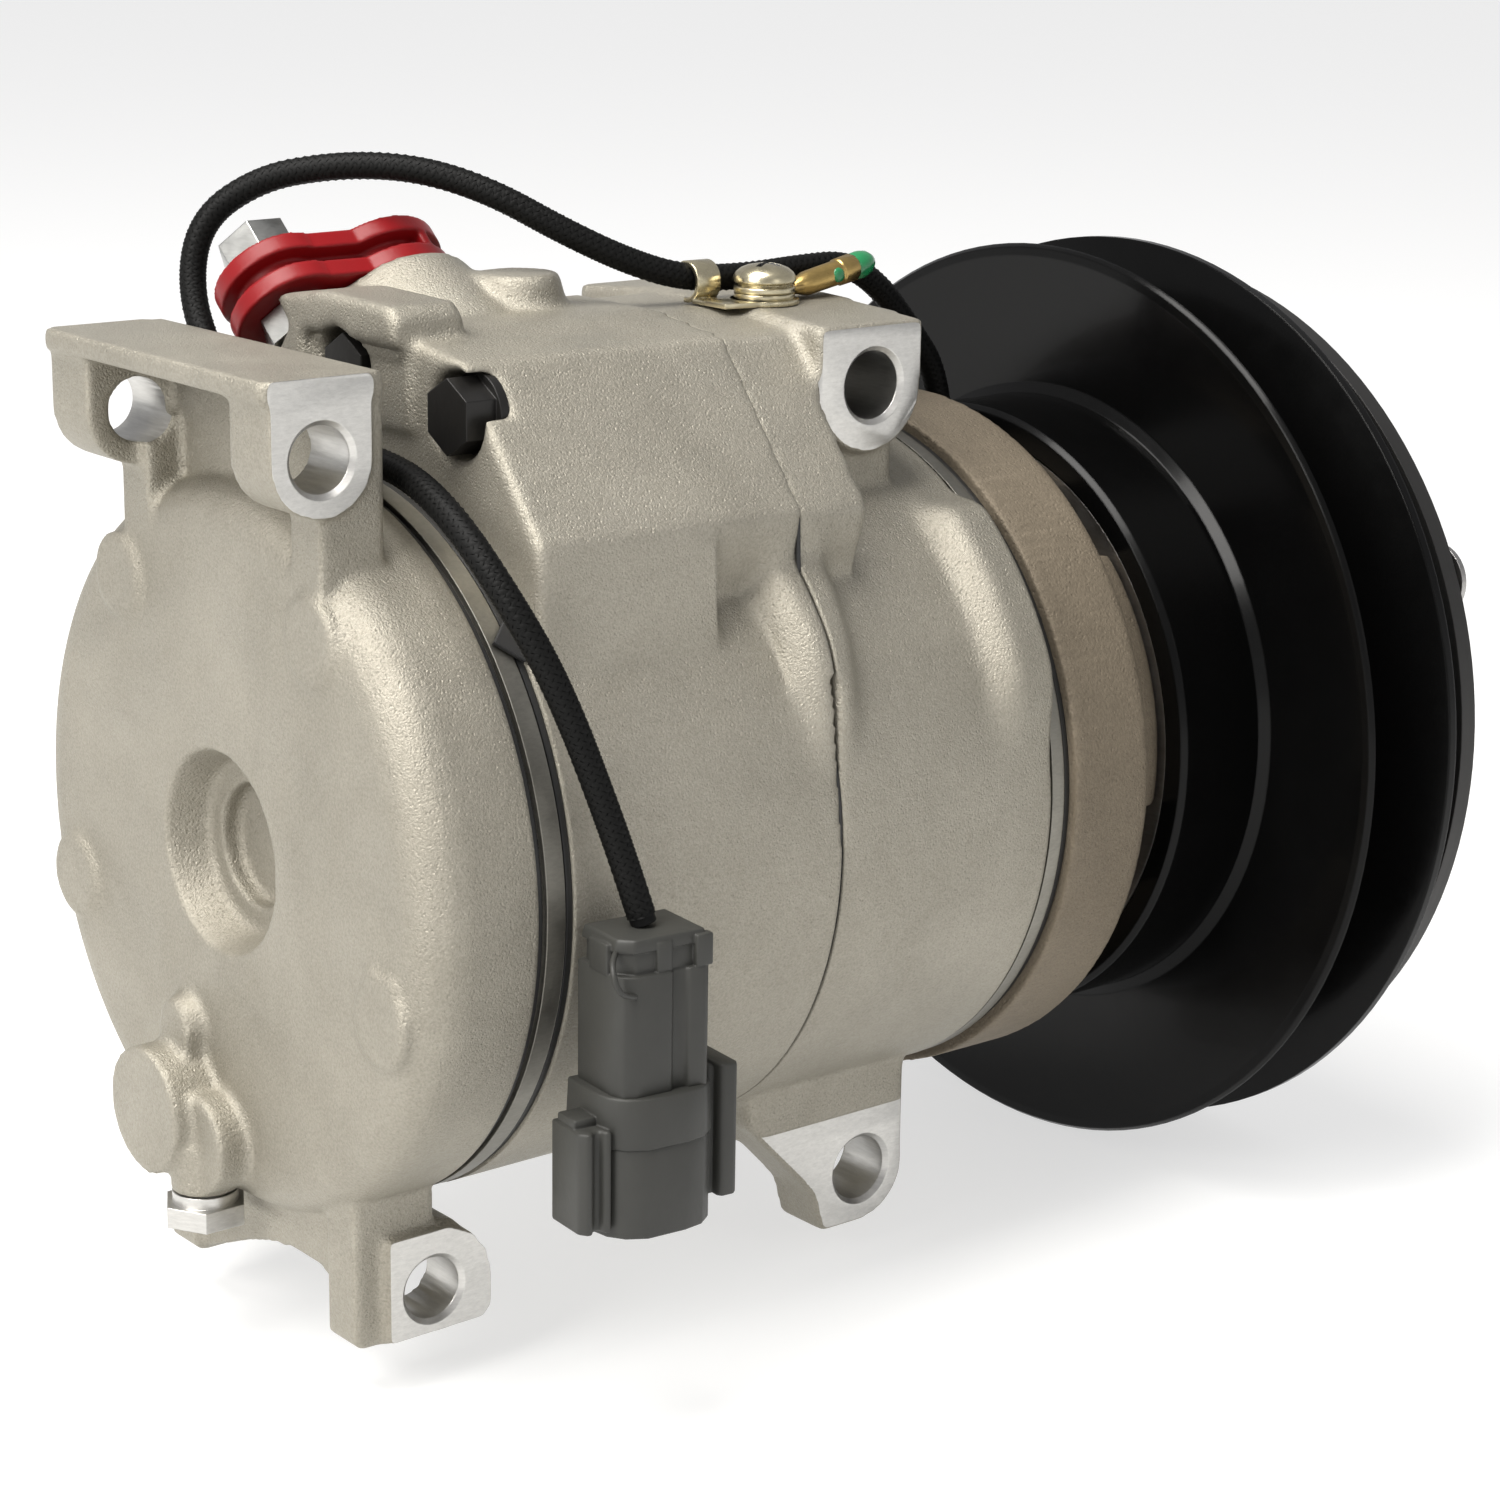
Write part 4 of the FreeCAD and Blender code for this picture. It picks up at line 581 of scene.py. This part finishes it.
softened("rear_housing", "rear_cover_casting", "cast_aluminium", 0.6, 3, hold_rear, (REAR_COVER_SEAM,), cutters=[
    mill("mill_bracket_near", (-184, -34, 47), (-138, -PAD, 80)),
    mill("mill_bracket_far", (-184, PAD, 47), (-138, 34, 80)),
    mill("mill_foot_near", (-184, -34, -80), (-138, -PAD, -51)),
    drill("drill_rear_top", -168.2, 61, 4.62, -PAD, PAD),
    drill("drill_rear_bottom", -151.8, -60.9, 4.62, -PAD, 25.9),
], plugs=[((*VALVE_SEAT, -51.2), 4.4, 10)])
softened("rear_cylinder_block", "rear_block_casting", "cast_aluminium", 0.75, 5, hold_rear_block,
         REAR_BLOCK_SEAMS, form=near_side)
softened("front_cylinder_block", "front_block_casting", "cast_aluminium", 0.7, 5, hold_front_block,
         FRONT_BLOCK_SEAMS, cutters=[
    mill("mill_top_near", (-83.4, -34, 50), (-60, -PAD, 80)),
    mill("mill_front_foot", (-100, -34, -80), (-56, -PAD, -52)),
    drill("drill_front_top", -72.5, 62.4, 5.12, -PAD, PAD),
    drill("drill_front_bottom", -71.2, -62, 5.12, -PAD, PAD),
], form=near_side)
softened("front_housing", "front_cover_casting", "sandy_aluminium", 0.8, 3, hold_front, (FRONT_COVER_SEAM,))


# ---------------------------------------------------------------- red transport cap

def transport_cap():
    """The moulded cap with rounded edges."""
    source = voxel_copy("port_cap", "transport_cap", 0.25)
    smooth = source.modifiers.new("smooth", "SMOOTH")
    smooth.factor = 0.5
    smooth.iterations = 3
    thin = source.modifiers.new("thin", "DECIMATE")
    thin.ratio = 0.5
    mesh = evaluated(source)
    smooth_shaded(mesh)
    shown(placed("transport_cap", mesh), "housing", "red_plastic", "port_cap")


transport_cap()


# ---------------------------------------------------------------- braided sleeve

def line_of_route():
    """Points and lengths along the cable's smooth line."""
    bare = smooth_curve("route_line", ROUTE, 0, 4)
    graph = bpy.context.evaluated_depsgraph_get()
    mesh = bpy.data.meshes.new_from_object(bare.evaluated_get(graph))
    points = np.array([vertex.co for vertex in mesh.vertices], float)
    bpy.data.objects.remove(bare)
    steps = np.r_[0, np.cumsum(np.linalg.norm(np.diff(points, axis=0), axis=1))]
    return points, steps


def braid():
    """Sleeve of crossing flat strands, over one and under one."""
    points, steps = line_of_route()
    length = steps[-1]
    strands, pitch, step = 9, 11 * MM, 0.42 * MM
    samples = np.arange(1.5 * MM, length - 1.0 * MM, step)
    centre = np.stack([np.interp(samples, steps, points[:, axis]) for axis in range(3)], 1)
    for turn in range(6):
        centre[1:-1] = 0.5 * centre[1:-1] + 0.25 * (centre[:-2] + centre[2:])
    tangent = np.gradient(centre, axis=0)
    tangent /= np.linalg.norm(tangent, axis=1)[:, None]
    side = np.zeros_like(tangent)
    current = np.cross(tangent[0], (0, 1, 0))
    for index, direction in enumerate(tangent):
        current = current - direction * current.dot(direction)
        current /= np.linalg.norm(current)
        side[index] = current
    other = np.cross(tangent, side)
    verts, faces = [], []
    for way in (1, -1):
        for strand in range(strands):
            angle = way * 2 * math.pi * samples / pitch + 2 * math.pi * strand / strands
            lift = way * np.cos(2 * math.pi * strands * samples / pitch)
            first = len(verts)
            for across, drop in ((-0.30, 0.10), (0.0, 0.0), (0.30, 0.10)):
                turned = angle + across
                radius = CABLE_RADIUS + (0.11 * lift - drop - 0.02) * MM
                ring = (centre + side * (radius * np.cos(turned))[:, None]
                        + other * (radius * np.sin(turned))[:, None])
                verts.extend(ring.tolist())
            count = len(samples)
            for column in range(2):
                for row in range(count - 1):
                    corner = first + column * count + row
                    faces.append((corner, corner + 1, corner + count + 1, corner + count))
    mesh = bpy.data.meshes.new("harness_braid")
    mesh.from_pydata(verts, [], faces)
    smooth_shaded(mesh)
    return shown(placed("harness_braid", mesh), "housing", "black_braid")


# ---------------------------------------------------------------- connector

# where the cable enters the connector, and how far the connector is turned about the upright
CONNECTOR = (-138.8, -61.5, 0)
TURN = Matrix.Rotation(math.radians(-5), 3, "Z")


def connector_body():
    """The upper half, which holds the cable: body, neck, lid and three ribs."""
    bm = bmesh.new()
    body = [(-7.1, 5.7), (-7.1, -3.2), (-6.3, -4.9), (-4.6, -5.8), (0.9, -5.8), (1.2, -5.1), (3.3, -5.1),
            (3.6, -5.8), (6.3, -5.8), (7.1, -5.0), (7.1, 5.7)]
    extrude(bm, body, -23, -5.2, TURN, CONNECTOR)
    neck = [(-6.2, 5.0), (-6.2, -3.0), (-4.4, -4.9), (6.2, -4.9), (6.4, -4.4), (6.4, 5.0)]
    extrude(bm, neck, -6, -1.6, TURN, CONNECTOR)
    lid = [(-6.8, 5.4), (-6.8, -3.4), (-4.9, -5.3), (6.5, -5.3), (6.8, -4.8), (6.8, 5.4)]
    extrude(bm, lid, -2.2, -0.3, TURN, CONNECTOR, 0.05)
    extrude(bm, [(-1.4, -5.5), (1.1, -5.5), (1.1, -4.4), (-1.4, -4.4)], -5.6, -1.0, TURN, CONNECTOR)
    extrude(bm, [(4.6, -5.9), (7.3, -5.9), (7.3, -4.2), (4.6, -4.2)], -5.4, -0.8, TURN, CONNECTOR)
    extrude(bm, [(-7.3, -2.2), (-6.0, -2.2), (-6.0, 2.6), (-7.3, 2.6)], -5.6, -1.2, TURN, CONNECTOR)
    return shown(beveled(from_bmesh("connector_body", bm), 0.35), "housing", "grey_plastic", "connector_plug")


def connector_shell():
    """The lower half, open below: column, collar, the catch on one side and the rail on the other."""
    bm = bmesh.new()
    column = [(-8.2, 6.6), (-8.5, -0.6), (-7.9, -3.4), (-6.2, -5.6), (-3.4, -7.0), (2.6, -7.0), (5.6, -6.4),
              (7.6, -4.8), (8.5, -2.6), (8.5, 6.6)]
    extrude(bm, column, -42.4, -29.5, TURN, CONNECTOR)
    wider = [(x * 1.025, y * 1.03) for x, y in column]
    extrude(bm, wider, -29.6, -22.2, TURN, CONNECTOR, 0.03)
    extrude(bm, [(-12.3, 3.8), (-12.3, -3.2), (-11.4, -4.4), (-10.6, -4.4), (-10.2, -3.5), (-9.2, -3.5),
                 (-8.9, -4.6), (-8.0, -4.9), (-7.5, -3.0), (-7.5, 3.8)], -41.2, -26.6, TURN, CONNECTOR)
    extrude(bm, [(-11.9, 3.0), (-11.9, -1.6), (-8.2, -1.6), (-8.2, 3.0)], -27.0, -25.4, TURN, CONNECTOR)
    rail = [(8.2, 4.4), (8.2, -1.2), (9.2, -2.4), (10.3, -2.4), (10.3, 4.4)]
    extrude(bm, rail, -40.2, -21.4, TURN, CONNECTOR)
    extrude(bm, [(9.8, 5.6), (9.8, -3.4), (10.3, -4.2), (12.4, -4.2), (13.0, -3.4), (13.0, 5.6)],
            -40.2, -20.9, TURN, CONNECTOR)
    sleeve = beveled(from_bmesh("connector_shell", bm), 0.45)
    bm = bmesh.new()
    extrude(bm, [(-6, -4.5), (6, -4.5), (6, 4.5), (-6, 4.5)], -44, -29.8, TURN, CONNECTOR)
    socket = from_bmesh("socket_cutter", bm)
    for piece in (sleeve, socket):
        piece.data.materials.append(FINISHES["grey_plastic"])
    sleeve = cut(sleeve, socket)
    smooth_shaded(sleeve.data, 35)
    return shown(sleeve, "housing", "grey_plastic", "connector_sleeve")


def connector_latch():
    """The thin loop beside the neck."""
    places = [(-6.4, -3.0, -2.2), (-7.8, -4.4, -2.6), (-8.9, -6.4, -3.9), (-8.3, -6.8, -6.2),
              (-6.6, -6.2, -7.4), (-5.0, -5.6, -7.9)]
    turned = [TURN @ Vector(place) + Vector(CONNECTOR) for place in places]
    return shown(smooth_curve("connector_latch", turned, 0.42 * MM, 3), "housing", "grey_plastic")


# ---------------------------------------------------------------- clip, terminal and screw

CLIP = Vector((-78, -10.4, 72.8))  # the screw's place on the saddle's top
UP = (0, 0, 1)
LEAN = Vector((1, 0.12, 0.16)).normalized()  # the terminal's direction, away from the screw


def clip_plate():
    """The plate under the screw, with the terminal's eye on it and a tab that rolls up and over the sleeve."""
    bm = bmesh.new()
    for low, high, grow in ((0.0, 0.8, 0.0), (0.85, 1.65, -0.7)):
        turns = [2 * math.pi * step / 24 for step in range(24)]
        outline = [((5.4 + grow) * math.cos(turn), (5.2 + grow) * math.sin(turn)) for turn in turns]
        extrude(bm, outline, low, high, None, CLIP)
    extrude(bm, [(-9.6, -2.6), (-2, -4.0), (-2, 5.4), (-9.6, 5.4)], 0.0, 0.8, None, CLIP)
    centre = CLIP + Vector((0, 7.0, 3.1))
    steps = 22
    corners = []
    for step in range(steps):
        turn = math.radians(-100 + 215 * step / (steps - 1))
        for radius in (2.35, 3.15):
            for x in (-9.6, -5.2):
                place = centre + Vector((x, -radius * math.cos(turn), radius * math.sin(turn)))
                corners.append(bm.verts.new(place))
    for first in range(0, 4 * (steps - 1), 4):
        a, b, c, d, e, f, g, h = corners[first:first + 8]
        for face in ((a, b, f, e), (c, g, h, d), (a, e, g, c), (b, d, h, f)):
            bm.faces.new(face)
    bm.faces.new((corners[0], corners[2], corners[3], corners[1]))
    bm.faces.new((corners[-4], corners[-3], corners[-1], corners[-2]))
    shown(beveled(from_bmesh("clip_plate", bm), 0.15), "housing", "gold_zinc", "harness_clip")


def clip_washers():
    """The flat washer and the spring washer on it."""
    bm = bmesh.new()
    flat = [(0, 2.6), (0, 4.5), (0.2, 4.7), (0.8, 4.7), (1.0, 4.5), (1.0, 2.6)]
    lathe(bm, flat, CLIP + Vector((0, 0, 1.7)), UP)
    lathe(bm, [(0, 2.6), (0, 4.0), (0.3, 4.2), (0.6, 4.0), (0.6, 2.6)], CLIP + Vector((0, 0, 2.7)), UP)
    shown(from_bmesh("clip_washers", bm), "housing", "gold_zinc", "clip_washer")


def clip_screw():
    """The screw's domed head with its cross recess, whose walls are painted near-black as painted shade."""
    bm = bmesh.new()
    dome = [(0, 2.4), (0, 4.55), (0.25, 4.8), (0.8, 4.75), (1.5, 4.35), (2.1, 3.6), (2.55, 2.5), (2.8, 1.2),
            (2.85, 0.3)]
    lathe(bm, dome, CLIP + Vector((0, 0, 3.2)), UP, 56)
    screw = from_bmesh("clip_screw_head", bm)
    screw.data.materials.append(FINISHES["gold_zinc"])
    for x, y in ((0.45, 2.5), (2.5, 0.45)):
        bm = bmesh.new()
        extrude(bm, [(-x, -y), (x, -y), (x, y), (-x, y)], 4.6, 8, Matrix.Rotation(0.5, 3, "Z"), CLIP)
        slot = from_bmesh("slot_cutter", bm)
        # painted shade: the cut recess walls take this near-black finish instead of the screw's gold zinc
        slot.data.materials.append(FINISHES["gasket_black"])
        screw = cut(screw, slot)
    smooth_shaded(screw.data, 35)
    shown(screw, "housing", "gold_zinc", "clip_screw")


def ground_terminal():
    """The terminal's crimped barrel and tongue, then the insulation that shows at its end and in its window."""
    start = CLIP + Vector((7.6, 0, 2.3))
    bm = bmesh.new()
    crimped = [(-2.4, 0.9), (-0.8, 1.5), (0.6, 1.9), (7.4, 1.95), (7.6, 2.15), (10.6, 2.2), (11.0, 2.0)]
    lathe(bm, crimped, start, LEAN, 12)
    extrude(bm, [(2.5, -2.0), (6.6, -1.5), (6.6, 1.5), (2.5, 2.0)], 1.7, 2.4, None, CLIP)
    barrel = beveled(from_bmesh("terminal_barrel", bm, 25), 0.12)
    shown(barrel, "housing", "terminal_brass", "ground_terminal")
    bm = bmesh.new()
    bead = [(-0.6, 1.7), (0.2, 2.1), (1.6, 2.15), (2.9, 1.9), (3.9, 1.3), (4.5, 0.6), (4.7, 0.15)]
    lathe(bm, bead, start + LEAN * 11, LEAN, 24)
    window = start + LEAN * 6.2 + Vector((0, -1.75, 0.1))
    lathe(bm, [(0, 1.15), (0.25, 1.05), (0.4, 0.6), (0.42, 0.1)], window, (0, -1, 0.1), 16)
    shown(from_bmesh("terminal_insulation", bm, 60), "housing", "green_bead", "terminal_bead")


# ---------------------------------------------------------------- harness and small pieces in place

shown(cable, "housing", "black_braid", "harness")
sleeve_braid = braid()
plug, plug_sleeve, plug_latch = connector_body(), connector_shell(), connector_latch()
clip_plate()
clip_washers()
clip_screw()
ground_terminal()


# ---------------------------------------------------------------- floor and light

FLOOR_REACH = 12  # metres from the middle to each edge

floor_mesh = bpy.data.meshes.new("floor")
corners = [(x * FLOOR_REACH, y * FLOOR_REACH, 0) for x, y in ((-1, -1), (1, -1), (1, 1), (-1, 1))]
floor_mesh.from_pydata(corners, [], [(0, 1, 2, 3)])
floor = placed("floor", floor_mesh)
floor.location.z = CAD_BOX[0][2] - 0.2 * MM
paper = Shader("paper", Base_Color=(0.42, 0.42, 0.415, 1), Roughness=0.85, Emission_Color=(1, 1, 1, 1),
               Emission_Strength=0.62)
floor_mesh.materials.append(paper.material)

world = bpy.data.worlds.new("studio")
bpy.context.scene.world = world
world.use_nodes = True
sky = world.node_tree
fade = sky.nodes.new("ShaderNodeValToRGB")
horizon, zenith = fade.color_ramp.elements
horizon.position = 0.03
horizon.color = (0.95, 0.95, 0.95, 1)
zenith.position = 0.3
zenith.color = (0.5, 0.5, 0.51, 1)
split = sky.nodes.new("ShaderNodeSeparateXYZ")
sky.links.new(sky.nodes.new("ShaderNodeTexCoord").outputs["Generated"], split.inputs[0])
sky.links.new(split.outputs["Z"], fade.inputs["Fac"])
sky.links.new(fade.outputs["Color"], sky.nodes["Background"].inputs["Color"])
sky.nodes["Background"].inputs["Strength"].default_value = 0.85
bpy.context.scene.view_settings.view_transform = "Standard"


def lamp(name, place, target, size, power):
    """A soft, slightly warm square light that points at a target; places and size are in metres."""
    light = bpy.data.lights.new(name, "AREA")
    light.shape = "RECTANGLE"
    light.size = size
    light.size_y = size
    light.energy = power
    light.color = (1, 0.98, 0.95)
    thing = placed(name, light)
    thing.location = place
    thing.rotation_euler = (Vector(target) - Vector(place)).to_track_quat("-Z", "Y").to_euler()


lamp("overhead", (-0.55, 0.0, 1.2), (-0.1, 0, 0), 0.8, 27)
lamp("left", (-1.3, -0.2, 0.8), (-0.1, 0, 0), 0.6, 16)
lamp("front", (0.1, -1.5, 0.6), (0, 0, 0), 0.5, 1.4)
